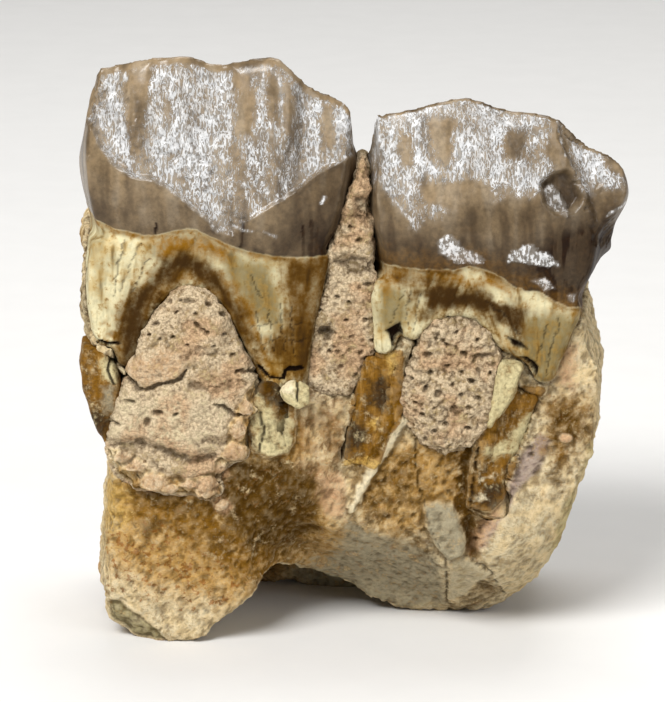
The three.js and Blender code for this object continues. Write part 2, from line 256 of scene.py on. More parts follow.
# The silt in the front molar's roots, and where its edge hardly shows
FRONT_SILT_QUIET = path("""
    206,390 282,378 280,430 240,500 206,512 130,500 130,474 190,480 214,470 232,430
""")
FRONT_SILT_OUTLINE = path("""
    185,270 205,276 222,300 238,318 252,345 262,372 254,388 242,400 231,419 229,440 215,462
    213,474 190,479 165,477 150,471 138,456 100,446 96,420 104,390 114,360 122,335 140,305 160,280
""")
FRONT_SILT_PITS = path("""
    189,300,6.5,3 209,303,4,2.4 222,314,4,2.4 155,324,3.4,2 198,327,3,2 202,329,2.6,2
    196,324,2.4,1.8 206,332,2.6,1.8 168,300,2.2,1.6 176,312,2,1.6 196,314,2,1.6 180,300,2,1.4
    158,412,5,2.6 147,421,3.6,3.6 131,400,3.6,2 233,355,2.6,1.8 160,340,2,1.5 214,346,2,1.4
    120,424,2.6,1.6 176,412,2.4,1.6 148,334,2,1.6 172,338,2.2,1.4 188,344,2,1.4 224,334,2.2,1.4
""")
FRONT_SILT_CRACKS = paths("""
    116,367 126,375 136,383 138,389 147,390 155,385 170,382 181,378 185,370 /
    215,403 229,409 235,415 247,416 /
    236,372 262,370
""")
FRONT_SILT_CREASES = paths("""
    190,386 210,389 228,386 244,382 /
    184,357 196,350 214,352 /
    112,443 134,440 150,443 166,451 190,459 212,456 /
    206,440 224,440 232,430
""")
FRONT_SILT_FLAKE = path("122,366 139,356 162,347 185,356 183,377 155,385 146,390 137,383")
FRONT_SILT_BELLY = path("""
    116,388 142,394 170,388 200,392 226,392 234,412 230,432 210,444 190,452 166,446 140,438
    108,442 104,424
""")
FRONT_SILT_SHELF = path("146,452 166,458 190,464 214,462 214,472 190,476 162,469")
FRONT_SILT_UNDERCUT = path("""
    110,444 140,440 164,449 190,457 214,455 214,464 190,466 164,460 146,453 124,454
""")

# The silt in the rear molar's roots
REAR_SILT_PITS = path("""
    427,355,3.4,2.8 464,354,3.2,2.6 481,356,9,2.6 438,393,4.6,3 456,410,4,4 472,380,3,2.6
    447,345,2.6,2 430,372,2.6,2.2 416,402,2.4,2 448,366,2.4,1.8 462,372,2,2 478,398,2.8,2
    426,388,2,1.8 446,424,2.6,2.2 468,428,2.6,2 436,338,2,1.6 456,332,2.4,1.6 478,340,2.2,1.8
    412,378,2,1.6 490,372,2,2 460,394,2,1.6 434,430,2,1.8 452,384,2.2,1.6 422,414,2.2,1.6
""")
REAR_SILT_RINGS = path("439,414,9 451,350,6 456,410,5")

# The silt between the molars
MIDDLE_SILT_HOLLOWS = paths("""
    356,196 374,196 380,214 366,224 352,218 /
    336,262 352,256 378,262 372,274 348,276 /
    316,330 330,324 336,334 326,342
""")
MIDDLE_SILT_PITS = path("""
    324,330,6,4 349,302,2.6,1.8 368,284,5,2 336,296,2.4,1.6 352,336,3,1.8 360,352,3,2
    330,352,2.6,1.6 366,320,3,2 345,320,2.2,1.4 358,240,3.4,2 350,228,2.4,2 340,366,3,1.8
    372,340,3,2 320,310,2.2,1.6 376,302,2.4,1.6 356,376,3,2
""")

# The bone
LOBE_BREAK = path("96,600 108,602 118,600 128,608 140,616 156,630 168,642 150,652 96,620")
BONE_DARK = path("""
    214,462 250,458 280,462 320,470 322,510 316,536 300,548 276,556 250,548 224,526 206,500
""")
BONE_AMBER = paths("""
    118,478 168,486 210,490 250,530 290,552 262,590 212,566 170,536 128,512 /
    240,540 276,556 300,552 282,570 250,586 236,566 /
    286,400 312,414 306,456 262,470 240,460 280,452 /
    318,410 346,400 344,450 334,470 322,460 /
    390,452 430,446 420,480 396,500 384,480 /
    436,446 470,440 468,500 450,500 440,480 /
    540,400 592,392 592,440 560,470 544,450
""")
BONE_OCHRE = paths("""
    104,470 210,480 330,460 345,540 270,590 230,610 150,590 104,560 /
    206,384 290,390 320,440 300,470 230,470 /
    350,440 470,430 470,520 400,540 350,510
""")
FRONT_LUMPS = path("""
    123,457,9,6 136,467,13,7 153,482,14,9 170,489,9,5 190,485,10,5 208,487,15,11 223,505,8,8
    222,470,8,7 234,452,12,9 239,430,8,12 247,408,8,10
""")
BONE_GROOVE = path("480,412 468,440 464,470 462,500 468,530 474,552")
BONE_SPECKLED = path("""
    104,530 140,520 176,530 220,560 244,584 226,606 190,612 150,600 106,590
""")
BONE_OLIVE = path("104,470 132,476 130,520 104,560 100,520")
BONE_YELLOW = path("100,466 122,474 136,500 134,524 112,534 100,520")
BONE_MOTTLES = paths("""
    128,484 160,490 176,506 150,508 130,498 /
    168,496 206,496 226,520 200,520 176,512 /
    196,524 226,534 250,556 226,556 204,542 /
    134,520 156,520 170,532 150,536
""")
BONE_PINK = paths("""
    308,360 342,364 344,392 310,392 304,376 /
    318,470 344,470 346,520 328,516 318,496 /
    556,344 578,344 572,390 556,384 /
    500,498 512,480 500,520 478,552 466,550 484,520
""")
BONE_FIBRES = path("298,396 346,372 346,430 338,476 318,486 296,466")
BONE_PALE_RIDGE = path("404,420 388,444 369,474 352,506")
BONE_POROUS = path("""
    398,436 420,448 440,448 468,440 470,500 430,506 400,530 366,526 356,508 372,474 388,446
""")
BONE_BROWN_PORES = paths("""
    362,500 386,462 410,450 418,480 420,506 396,520 370,524 /
    400,530 430,510 432,540 446,556 420,560 404,546
""")
BONE_GREY = path("""
    318,540 350,516 384,530 414,540 440,556 450,604 400,606 350,596 300,582 286,566
""")
BONE_KNOB = path("424,504 436,500 452,503 460,520 465,540 462,552 449,556 437,545 426,524")
BONE_CHIP = path("452,556 474,562 490,572 466,592 448,598")
BONE_CHIP_DARK = path("448,600 466,592 490,574 506,594 480,604 450,622")
BONE_PLAIN = path("""
    476,556 500,520 516,490 548,500 580,486 572,530 560,566 520,596 506,592 494,572
""")
BONE_VIOLET = path("""
    540,430 552,440 538,470 520,490 506,512 486,546 472,556 466,548 484,516 500,494 510,476
    520,456
""")
BONE_RIGHT_BROWN = paths("""
    546,414 566,404 590,414 590,440 570,452 552,440 /
    540,478 560,460 570,480 556,500
""")
BONE_NODULE = (565, 437, 6, 4.5)
BONE_RIM = path("""
    600,440 592,480 576,510 564,560 548,580 520,602 520,590 548,566 552,540 566,500 582,470
    588,440
""")
BONE_CRACKS = paths("""
    416,438 415,460 418,484 424,504 /
    446,556 447,576 446,602 /
    474,560 492,572 498,584 505,594 /
    449,556 462,554 474,560 /
    477,448 474,474 471,502 466,520 /
    424,504 430,524 440,546
""")
BONE_SEAM_SHADOWS = paths("""
    154,472 176,480 204,480 216,473 /
    408,432 420,444 440,446 462,442 484,428 /
    336,470 352,474 368,472 /
    118,452 124,466 140,478 /
    466,520 470,540 474,552
""")
BONE_HIDDEN_STAINS = [("ochre", 93, 0.9), ("grey", 95, 0.8), ("umber", 97, 0.7), ("pink", 99, 0.6)]
BONE_SOCKET_DARK = path("468,500 492,500 496,512 480,540 470,552 466,530")

# Where points of the plain solids show, and where the picture has them, as four numbers each
NUDGES = path("""
    109,70,97,67 100,100,89,98 98,130,86,130 99,160,85,160 99,190,84,193 98,215,86,215
    92,240,86,240 96,300,88,300 102,330,90,330 83,350,81,350 83,400,82,400 98,430,100,432
    114,450,105,455 115,500,105,500 114,550,103,550 116,590,103,590 108,602,99,604 170,638,160,640
    205,640,195,640 245,600,244,600 275,572,268,574 300,555,285,568 320,547,308,568
    345,560,345,581 380,577,380,597 410,594,415,608 440,610,445,617 495,575,515,592
    515,560,537,578 530,545,557,556 540,525,561,530 555,510,568,508 570,485,584,480
    582,460,594,455 593,425,594,425 601,345,601,345 585,312,584,312 585,290,588,290
    600,264,605,268 625,243,600,246 626,230,612,231 612,254,609,257 592,280,601,282
    617,200,634,200 619,185,629,183 612,165,620,163 595,145,600,147 540,113,543,111 470,101,470,98
    430,107,428,104 382,116,368,112 374,145,365,145 382,200,372,200 384,240,376,240
    386,262,380,262 350,118,357,119 356,150,358,150 345,200,348,200 328,255,327,255 330,101,332,97
    300,88,303,86 272,63,273,59 230,68,228,65 190,66,191,60 150,66,150,62 120,69,117,66
    200,120,200,120 300,150,300,150 200,240,200,240 150,350,150,350 200,420,200,420
    250,350,250,350 330,330,330,330 300,450,300,450 400,380,400,380 450,380,450,380
    450,150,450,150 520,200,520,200 450,270,450,270 500,450,500,450 400,500,400,500
    550,400,550,400 200,520,200,520 440,550,440,554
""")
PIECE_NUDGES = {
    "rear_molar_front_root_tip": path("""
        398,366,400,366 380,420,388,420 362,462,378,462 343,462,337,462 365,362,364,360
        352,420,350,420
    """),
    "rear_molar_rear_root_tip": path("""
        514,389,499,389 491,455,471,455 472,505,466,505 541,391,543,391 514,455,519,455
        507,505,505,507
    """),
    "front_molar_rear_root_tip": path("""
        268,404,250,400 268,430,249,440 278,437,270,458 289,404,292,402 289,430,291,446
    """),
}

# Broken root tips, and the marks on them
TIP_OUTLINES = {
    "front_molar_rear_root_tip": path("""
        245,414 250,396 256,382 296,384 295,440 288,453 268,458 252,450
    """),
    "rear_molar_front_root_tip": path("""
        366,350 404,350 402,420 390,434 380,462 374,467 342,466 344,440 350,400 358,372
    """),
    "rear_molar_rear_root_tip": path("""
        497,384 546,386 534,415 517,464 505,500 492,512 466,507 468,479 474,440 484,418
    """),
}
TIP_MARKS = {
    "front_molar_front_root_tip": {
        "pale": paths("98,358 118,356 118,384 104,380 / 100,344 118,344 118,352"),
        "grey": paths("100,388 116,384 116,414 104,412"),
        "brown": paths("82,410 100,412 116,416 110,440 92,436"),
        "cracks": paths("112,356 108,372 114,384"),
    },
    "front_molar_rear_root_tip": {
        "pale": paths("256,408 262,396 270,404 276,418 294,412 292,452 268,457 256,448"),
        "brown": paths("254,380 298,380 286,410 266,406 / 244,410 254,404 256,452 246,440"),
        "cracks": paths("260,406 264,430 258,452"),
    },
    "rear_molar_front_root_tip": {
        "yellow": paths("""
            330,456 350,461 384,456 386,476 330,476 /
            384,352 398,352 396,370 388,374 /
            368,424 378,418 376,432
        """),
        "brown": paths("""
            366,384 384,372 396,392 384,412 370,408 /
            344,436 356,416 366,430 360,452 346,456
        """),
    },
    "rear_molar_rear_root_tip": {
        "pale": paths("""
            506,448 512,430 532,410 536,414 526,440 514,460 /
            484,446 506,440 510,452 496,460 482,458
        """),
        "white": paths("470,494 482,492 486,500 474,502 / 478,477 492,476 494,479 480,481"),
        "brown": paths("484,484 506,484 498,510 478,508"),
        "cracks": paths("478,446 474,474 470,504"),
    },
    "rear_molar_root_splinter": {
        "pale": paths("490,346 530,346 514,404 490,432 476,416"),
        "brown": paths("480,408 490,412 486,430 476,430"),
    },
    "front_molar_root_chip": {
        "pale": paths("260,360 320,360 320,410 260,410"),
        "white": paths("276,376 294,374 294,396 280,394"),
        "cracks": paths("298,370 297,402"),
    },
}

# How the fine forms are made
MOST_RELIEF = 0.7 * MM  # how far the relief may reach in front of the solids
LUMP_DEPTH = 0.5  # millimetres, half the thickness of a lump
SEAM_REACH = 4  # times the seam, how far the darkening beside a joint reaches: dirt at the joint and painted shade between the parts
BURIED = 0.55  # how near another piece, as a share of that reach, a face lies hidden
SEEN = -0.05  # how far a face may turn away from the camera and still be divided
MERGE_DISTANCE = 0.002 * MM
NUDGE_REACH = 22  # pixels, how far around its start a nudge works
NUDGE_HOLD = 0.03  # how firmly points far from any nudge stay where they are
FOOT_HEIGHT = 1.5 * MM  # below it, points move up or down less

# The stage
FLOOR_REACH = 1.5  # metres from the middle of the floor to its edges
ROOM_LIGHT = 0.2
LIGHT_AIM = (0, 0, 25 * MM)
SOFT_LIGHTS = [  # name, place, size and power
    ("key_light", (-0.22, -0.32, 0.42), (0.3, 0.2), 4.0),
    ("fill_light", (0.38, -0.38, 0.22), (0.3, 0.3), 1.0),
    ("top_light", (0.05, 0.2, 0.5), (0.3, 0.3), 1.6),
]

# How strongly the finishes reflect, beside their coat
ENAMEL_GLOSS = 0.08
TIP_GLOSS = 0.16
STONE_GLOSS = 0.06


# Colours and sizes that can be changed in the panel

def tone(red, green, blue):
    """A picture colour, from 0 to 255 a channel, as the linear colour of a property."""
    return tuple((channel / 255) ** 2.2 for channel in (red, green, blue))


def colour_property(name, description, default):
    return bpy.props.FloatVectorProperty(
        name=name, description=description, default=default, subtype="COLOR", size=3,
        min=0, max=1,
    )


def length_property(name, description, default):
    return bpy.props.FloatProperty(
        name=name, description=description, default=default, unit="LENGTH", min=0.01 * MM,
        precision=5,
    )


DIVIDED = " before its front is divided"


class FossilJawShape(bpy.types.PropertyGroup):
    """Sizes of the fine meshes and of their relief."""

    molar_grid: length_property("Molar grid", "Face size of a molar" + DIVIDED, 0.27 * MM)
    bone_grid: length_property("Bone grid", "Face size of the bone" + DIVIDED, 0.39 * MM)
    silt_grid: length_property("Silt grid", "Face size of the silt" + DIVIDED, 0.24 * MM)
    tip_grid: length_property("Root tip grid", "Face size of a root tip" + DIVIDED, 0.2 * MM)
    seam: length_property("Seam", "How far a piece grows towards its neighbours", 0.27 * MM)


class FossilJawColours(bpy.types.PropertyGroup):
    """Colours of the teeth, bone and silt."""

    enamel: colour_property("Enamel", "Taupe enamel", tone(130, 111, 85))
    enamel_light: colour_property("Light enamel", "Ribs of the enamel", tone(153, 137, 114))
    # Enamel shade also paints the shade on the lower and right parts of the crowns and in the pit
    enamel_dark_and_shade: colour_property("Enamel shade", "Enamel near its neck", tone(36, 22, 8))
    # Frost is a painted reflection of the lights on the finely wrinkled enamel
    frost_sheen: colour_property("Frost", "Silvery wrinkles on the enamel", tone(202, 202, 202))
    # Haze is painted sheen too, greying the enamel between the bright wrinkles
    sheen_haze: colour_property("Haze", "Greyed enamel between the wrinkles", tone(148, 143, 136))
    dentine: colour_property("Dentine", "Pale root", tone(214, 204, 164))
    dentine_grey: colour_property("Grey dentine", "Greyed root", tone(126, 110, 72))
    amber: colour_property("Amber", "Amber stain", tone(128, 88, 18))
    brown: colour_property("Brown", "Dark brown stain", tone(54, 36, 8))
    yellow: colour_property("Yellow", "Bright yellow rims", tone(208, 168, 88))
    silt: colour_property("Silt", "Hardened silt", tone(220, 197, 162))
    silt_pink: colour_property("Pink silt", "Pink patches in the silt", tone(202, 160, 120))
    silt_grey: colour_property("Grey silt", "Shaded grains", tone(116, 94, 66))
    bone: colour_property("Bone", "Cream bone", tone(226, 200, 152))
    dentine_pale: colour_property("Root patches", "Pale patches of broken roots", tone(212, 198, 150))
    rust: colour_property("Rust", "Fine red-brown specks of the bone", tone(146, 90, 36))
    bone_pale: colour_property("Pale bone", "Whitish grains of the bone", tone(240, 224, 186))
    ochre: colour_property("Ochre", "Golden stain of the bone", tone(186, 142, 74))
    umber: colour_property("Umber", "Dull brown stain of the bone", tone(88, 62, 18))
    bone_grey: colour_property("Grey bone", "Smooth grey bone", tone(156, 146, 120))
    bone_olive: colour_property("Olive bone", "Olive rims and breaks", tone(176, 162, 106))
    violet: colour_property("Violet bone", "Porous violet-grey bone", tone(170, 150, 138))
    # The soot colour darkens cracks and paints the shade in pits, gaps, hollows and under ledges
    soot_and_shade: colour_property("Cracks", "Dirt in cracks and pits", tone(26, 16, 6))
    floor: colour_property("Floor", "Plain pale floor", (0.72, 0.71, 0.69))


# Seeing the piece as the front camera does

def camera_axes():
    """Right, up and backward directions of the front camera."""
    sine, cosine = math.sin(CAMERA_HEIGHT_ANGLE), math.cos(CAMERA_HEIGHT_ANGLE)
    return np.array([[1, 0, 0], [0, sine, cosine], [0, -cosine, sine]])


def camera_place():
    """Where the front camera stands, so that the middle of the piece shows at MIDDLE_PIXEL."""
    right, up, back = camera_axes()
    low, high = (np.array(corner) for corner in CAD_BOX)
    middle = (low + high) / 2
    aside = (MIDDLE_PIXEL[0] - PICTURE[0] / 2) / PIXELS_PER_MM * MM
    above = (PICTURE[1] / 2 - MIDDLE_PIXEL[1]) / PIXELS_PER_MM * MM
    return middle - right * aside - up * above + back * CAMERA_DISTANCE


def picture_pixels(points):
    """The picture pixel that each point shows at, as an array of (across, down)."""
    seen = (points - camera_place()) @ camera_axes().T
    scale = PIXELS_PER_MM / MM * CAMERA_DISTANCE / -seen[:, 2]
    across = PICTURE[0] / 2 + seen[:, 0] * scale
    down = PICTURE[1] / 2 - seen[:, 1] * scale
    return np.stack([across, down], 1)


# Noise over arrays of points, the same on every run

def smooth(low, high, values):
    """From 0 at low to 1 at high, eased at both ends. Low may be the larger of the two."""
    share = np.clip((values - low) / (high - low), 0, 1)
    return share * share * (3 - 2 * share)


def cell_number(cells, seed):
    """A number from 0 to 1 that belongs to each whole-number cell."""
    mixed = cells[..., 0] * 73856093 ^ cells[..., 1] * 19349663 ^ cells[..., 2] * 83492791
    mixed = (mixed ^ seed * 2654435761) & 0x7FFFFFFF
    mixed = ((mixed ^ (mixed >> 15)) * 1274126177) & 0x7FFFFFFF
    mixed = ((mixed ^ (mixed >> 13)) * 668265263) & 0x7FFFFFFF
    return ((mixed ^ (mixed >> 16)) & 0xFFFF) / 0xFFFF


TURN = np.array(Euler((0.9, 0.6, 0.4)).to_matrix())  # keeps the noise from lying along the axes


def hills(points, size, seed):
    """Smooth noise from -1 to 1 with hills of a given size, which may differ by axis."""
    spots = points / np.asarray(size) @ TURN
    base = np.floor(spots).astype(np.int64)
    part = spots - base
    part = part * part * (3 - 2 * part)
    total = np.zeros(len(points))
    for corner in np.ndindex(2, 2, 2):
        weight = np.prod(np.where(corner, part, 1 - part), axis=1)
        total += weight * cell_number(base + np.array(corner), seed)
    return total * 2 - 1


def rough(points, size, seed, octaves=3):
    """Hills on hills, each set half the size and half the height of the last."""
    spots = points / np.asarray(size, float)
    total = np.zeros(len(points))
    for n in range(octaves):
        total += hills(spots * 2**n, 1, seed + n) / 2**n
        spots = spots @ TURN
    return total / (2 - 0.5 ** (octaves - 1))


def nearest_cell(points, size, seed):
    """Distances to the nearest and second nearest of scattered centres, in cell sizes."""
    spots = points / np.asarray(size)
    base = np.floor(spots).astype(np.int64)
    first = np.full(len(points), 9.0)
    second = np.full(len(points), 9.0)
    for step in np.ndindex(3, 3, 3):
        cell = base + np.array(step) - 1
        centre = cell + np.stack([cell_number(cell, seed + axis) for axis in range(3)], 1)
        away = np.linalg.norm(spots - centre, axis=1)
        second = np.minimum(second, np.maximum(first, away))
        first = np.minimum(first, away)
    return first, second


# Distances in the picture

def line_distance(pixels, line):
    """How far each pixel is from a line through several points."""
    best = np.full(len(pixels), np.inf)
    for start, end in zip(line[:-1], line[1:]):
        start, end = np.array(start, float), np.array(end, float)
        run = end - start
        share = np.clip((pixels - start) @ run / (run @ run), 0, 1)
        away = pixels - start - share[:, None] * run
        best = np.minimum(best, np.hypot(away[:, 0], away[:, 1]))
    return best


def depth_inside(pixels, outline):
    """How far each pixel is inside an outline, below zero outside it."""
    inside = np.zeros(len(pixels), bool)
    x, y = pixels[:, 0], pixels[:, 1]
    for (x0, y0), (x1, y1) in zip(outline, outline[1:] + outline[:1]):
        if y0 == y1:
            continue
        crosses = (y0 > y) != (y1 > y)
        inside ^= crosses & (x < x0 + (y - y0) * (x1 - x0) / (y1 - y0))
    distance = line_distance(pixels, outline + outline[:1])
    return np.where(inside, distance, -distance)


# Fine meshes

def mesh_vectors(collection, name):
    """A vector of every element of a mesh collection, as an array."""
    values = np.empty(len(collection) * 3)
    collection.foreach_get(name, values)
    return values.reshape(-1, 3)


def mesh_from(bm, name):
    """A mesh made from a bmesh, which is freed."""
    mesh = bpy.data.meshes.new(name)
    bm.to_mesh(mesh)
    bm.free()
    return mesh


def new_object(name, data):
    """An object in the scene, at the origin."""
    made = bpy.data.objects.new(name, data)
    bpy.context.scene.collection.objects.link(made)
    return made


def merged_copy(node):
    """A bmesh copy of a node's solid, with its loose triangles joined up."""
    bm = bmesh.new()
    bm.from_mesh(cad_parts[node].data)
    bmesh.ops.remove_doubles(bm, verts=bm.verts, dist=MERGE_DISTANCE)
    return bm


def remeshed(bm, grid):
    """A bmesh of the same form in even square faces of the size of the grid."""
    mesh = mesh_from(bm, "rough_form")
    rough_form = new_object("rough_form", mesh)
    remesh = rough_form.modifiers.new("even_faces", "REMESH")
    remesh.mode = "VOXEL"
    remesh.voxel_size = grid
    evaluated = rough_form.evaluated_get(bpy.context.evaluated_depsgraph_get())
    even = bmesh.new()
    even.from_mesh(evaluated.to_mesh())
    evaluated.to_mesh_clear()
    bpy.data.objects.remove(rough_form)
    bpy.data.meshes.remove(mesh)
    return even


def line_of_sight(across, down):
    """Where the front camera stands and which way a picture pixel lies from it."""
    right, up, back = camera_axes()
    aside = (across - PICTURE[0] / 2) / PIXELS_PER_MM * MM
    above = (PICTURE[1] / 2 - down) / PIXELS_PER_MM * MM
    way = right * aside + up * above - back * CAMERA_DISTANCE
    return Vector(camera_place()), Vector(way).normalized()


def add_lumps(bm, lumps):
    """Adds flat lumps on what shows at some pixels, given as across, down and two radii."""
    tree = tree_of_others(None)
    for across, down, wide, high in lumps:
        spot = tree.ray_cast(*line_of_sight(across, down))[0]
        if spot is None:
            raise RuntimeError(f"no piece shows at {across}, {down}, where a lump should sit")
        radii = (wide / PIXELS_PER_MM, LUMP_DEPTH, high / PIXELS_PER_MM, 1)
        matrix = Matrix.Translation(spot) @ Matrix.Diagonal(radii)
        bmesh.ops.create_icosphere(bm, subdivisions=3, radius=MM, matrix=matrix)


def tree_of_others(node):
    """A search tree of the surfaces of every node but one."""
    corners, faces = [], []
    for name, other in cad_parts.items():
        if name == node:
            continue
        start = len(corners)
        corners += [vertex.co for vertex in other.data.vertices]
        faces += [[start + index for index in face.vertices] for face in other.data.polygons]
    return BVHTree.FromPolygons(corners, faces)


def close_seams(bm, node, seam):
    """Grows the form by the seam where another piece is near, so that the pieces meet."""
    tree = tree_of_others(node)
    near = bm.verts.layers.float.new("seam")
    bm.normal_update()
    grown = []
    for vertex in bm.verts:
        found = tree.find_nearest(vertex.co, SEAM_REACH * seam)
        if found[3] is None:
            continue
        share = 1 - min(1, max(0, found[3] - 1.8 * seam) / (2 * seam))
        vertex[near] = 1 - found[3] / (SEAM_REACH * seam)
        grown.append((vertex, vertex.normal * seam * share))
    for vertex, step in grown:
        vertex.co += step


def soften(bm):
    """Evens out a form a little."""
    bmesh.ops.smooth_vert(
        bm, verts=bm.verts, factor=0.5, use_axis_x=True, use_axis_y=True, use_axis_z=True,
    )


def fine_form(node, grid, seam, smoothing=3, lumps=()):
    """A node's form in fine faces, finer still where the front camera sees them."""
    bm = merged_copy(node)
    add_lumps(bm, lumps)
    bm = remeshed(bm, grid)
    for _ in range(smoothing):
        soften(bm)
    close_seams(bm, node, seam)
    toward_camera = Vector(camera_axes()[2])
    bm.normal_update()
    near = bm.verts.layers.float["seam"]
    seen = set()
    for face in bm.faces:
        buried = all(vertex[near] > BURIED for vertex in face.verts)
        if face.normal.dot(toward_camera) > SEEN and not buried:
            seen.update(face.edges)
    edges = [edge for edge in bm.edges if edge in seen]
    bmesh.ops.subdivide_edges(bm, edges=edges, cuts=1, use_grid_fill=True)
    soften(bm)
    return mesh_from(bm, node)


def nudge(mesh, nudges):
    """Moves the vertices across and up, so that the outlines show where the picture has them."""
    points = mesh_vectors(mesh.vertices, "co")
    pixels = picture_pixels(points)
    total = np.zeros((len(points), 2))
    weights = np.full(len(points), NUDGE_HOLD)
    for spot in nudges:
        start, end = np.array(spot[:2]), np.array(spot[2:])
        away = pixels - start
        weight = np.exp(-np.sum(away * away, axis=1) / (2 * NUDGE_REACH**2))
        total += weight[:, None] * (end - start)
        weights += weight
    shift = total / weights[:, None] / PIXELS_PER_MM * MM
    points[:, 0] += shift[:, 0]
    freedom = smooth(0, FOOT_HEIGHT, points[:, 2])
    points[:, 2] -= shift[:, 1] * freedom / math.cos(CAMERA_HEIGHT_ANGLE)
    mesh.vertices.foreach_set("co", points.ravel())
    mesh.update()


class Skin:
    """A piece's fine mesh while it is carved and stained."""

    def __init__(self, mesh, node, stains=()):
        nudge(mesh, NUDGES)
        if node in PIECE_NUDGES:
            nudge(mesh, PIECE_NUDGES[node])
        self.mesh = mesh
        self.points = mesh_vectors(mesh.vertices, "co")
        self.outward = mesh_vectors(mesh.vertices, "normal")
        facing = self.outward @ camera_axes()[2]
        self.front = smooth(SEEN, 0.25, facing)
        flat = self.points.copy()
        flat[:, 1] = FRONT_PLANE
        seen, level = picture_pixels(self.points), picture_pixels(flat)
        self.pixels = level + (seen - level) * self.front[:, None]
        self.depth = (self.points[:, 1] - FRONT_PLANE) / MM
        self.raised = np.zeros(len(self.points))
        seam = np.empty(len(self.points))
        mesh.attributes["seam"].data.foreach_get("value", seam)
        mesh.attributes.remove(mesh.attributes["seam"])
        patchy = smooth(-0.5, 0.3, rough(self.points, 1.6 * MM, 3))
        self.stains = {name: np.zeros(len(self.points)) for name in stains}
        # Dark brown beside joints with other pieces: dirt at the joints and painted shade between the
        # parts
        self.stains["seam"] = seam * (0.25 + 0.75 * patchy)
        self.seen = np.flatnonzero(self.front)
        self.shifts = {}
        self.ends = None

    def wandering(self, reach, size=0.9):
        """The pixels of the seen vertices, each moved by up to a reach, for ragged edges."""
        if size not in self.shifts:
            points = self.points[self.seen]
            noises = [rough(points, size * MM, seed) for seed in (5, 45)]
            self.shifts[size] = np.stack(noises, 1)
        return self.pixels[self.seen] + reach * self.shifts[size]

    def over_all(self, amount):
        """An amount on the seen vertices as one on every vertex, 0 on the others."""
        whole = np.zeros(len(self.points))
        whole[self.seen] = amount * self.front[self.seen]
        return whole

    def patch(self, outline, soft=3, ragged=3, size=0.9):
        """1 inside an outline and 0 outside it, for what the front shows."""
        depth = depth_inside(self.wandering(ragged, size), outline)
        return self.over_all(smooth(-soft, soft, depth))

    def patches(self, outlines, soft=3, ragged=3, size=0.9):
        return np.max([self.patch(outline, soft, ragged, size) for outline in outlines], axis=0)

    def stroke(self, line, width, ragged=1.5, size=0.5):
        """1 along a line and 0 past its width, for what the front shows."""
        distance = line_distance(self.wandering(ragged, size), line)
        breadth = width * (1 + 0.6 * self.shifts[size][:, 0])
        return self.over_all(np.clip((breadth - distance) / (0.6 * width), 0, 1))

    def strokes(self, lines, width, ragged=1.5):
        return np.max([self.stroke(line, width, ragged) for line in lines], axis=0)

    def holes(self, pits, soft=0.6, ragged=2.4):
        """1 in each of several oval pits, given as across, down and two radii."""
        pixels = self.wandering(ragged, 0.5)
        inside = np.zeros(len(pixels))
        for across, down, wide, high in pits:
            away = np.hypot((pixels[:, 0] - across) / wide, (pixels[:, 1] - down) / high)
            inside = np.maximum(inside, smooth(1 + soft, 1 - soft, away))
        return self.over_all(inside)

    def rings(self, rings):
        """1 on thin rounds, given as across, down and radius."""
        pixels = self.wandering(1.0, 0.5)
        on = np.zeros(len(pixels))
        for across, down, radius in rings:
            away = np.abs(np.hypot(pixels[:, 0] - across, (pixels[:, 1] - down) * 1.2) - radius)
            on = np.maximum(on, smooth(2.2, 0.6, away))
        return self.over_all(on)

    def raise_by(self, millimetres):
        self.raised = self.raised + millimetres * MM

    def stain(self, name, amount):
        old = self.stains.get(name, 0)
        self.stains[name] = np.clip(np.maximum(old, amount), 0, 1)

    def lay(self, stains, where=1):
        """Lays stains, each as its name, outlines, softness, raggedness and amount."""
        for name, outlines, soft, ragged, amount in stains:
            self.stain(name, where * self.patches(outlines, soft, ragged) * amount)

    def clean(self, name, amount):
        self.stains[name] = self.stains[name] * (1 - np.clip(amount, 0, 1))

    def around(self, values):
        """The average of each vertex's neighbours."""
        if self.ends is None:
            ends = np.empty(len(self.mesh.edges) * 2, np.int64)
            self.mesh.edges.foreach_get("vertices", ends)
            self.ends = ends.reshape(-1, 2).T
        a, b = self.ends
        both, size = np.r_[a, b], len(self.points)
        total = np.bincount(both, weights=np.r_[values[b], values[a]], minlength=size)
        return total / np.maximum(1, np.bincount(both, minlength=size))

    def relax(self, amount, times):
        """Evens out the form where an amount is 1."""
        for _ in range(times):
            for axis in range(3):
                values = self.points[:, axis]
                self.points[:, axis] = values + (self.around(values) - values) * amount

    def hollows(self, reach=5, depth=0.06):
        """1 where the relief lies lower than what is around it by a depth in millimetres."""
        level = self.raised
        for _ in range(reach):
            level = self.around(level)
        return np.clip((level - self.raised) / (depth * MM), -1, 1)

    def finish(self, floor=0.0):
        """Moves the vertices, keeps them above the resting plane and stores the stains."""
        hollow = self.hollows()
        self.stains["hollow"] = np.maximum(hollow, 0)
        self.stains["crest"] = np.maximum(-hollow, 0)
        points = self.points + self.outward * self.raised[:, None]
        points[:, 2] = np.maximum(points[:, 2], floor)
        points[:, 1] = np.maximum(points[:, 1], FRONT_PLANE - MOST_RELIEF)
        self.mesh.vertices.foreach_set("co", points.ravel())
        for name, amount in self.stains.items():
            layer = self.mesh.attributes.new(name, "FLOAT", "POINT")
            layer.data.foreach_set("value", np.broadcast_to(amount, len(points)).astype(np.float32))
        self.mesh.polygons.foreach_set("use_smooth", np.ones(len(self.mesh.polygons), bool))
        self.mesh.update()


def add_piece(node, mesh, material):
    """Shows a finished mesh in place of its node."""
    mesh.materials.append(material)
    piece = new_object("carved_" + node, mesh)
    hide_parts(node)
    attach(piece, "root")


# Materials

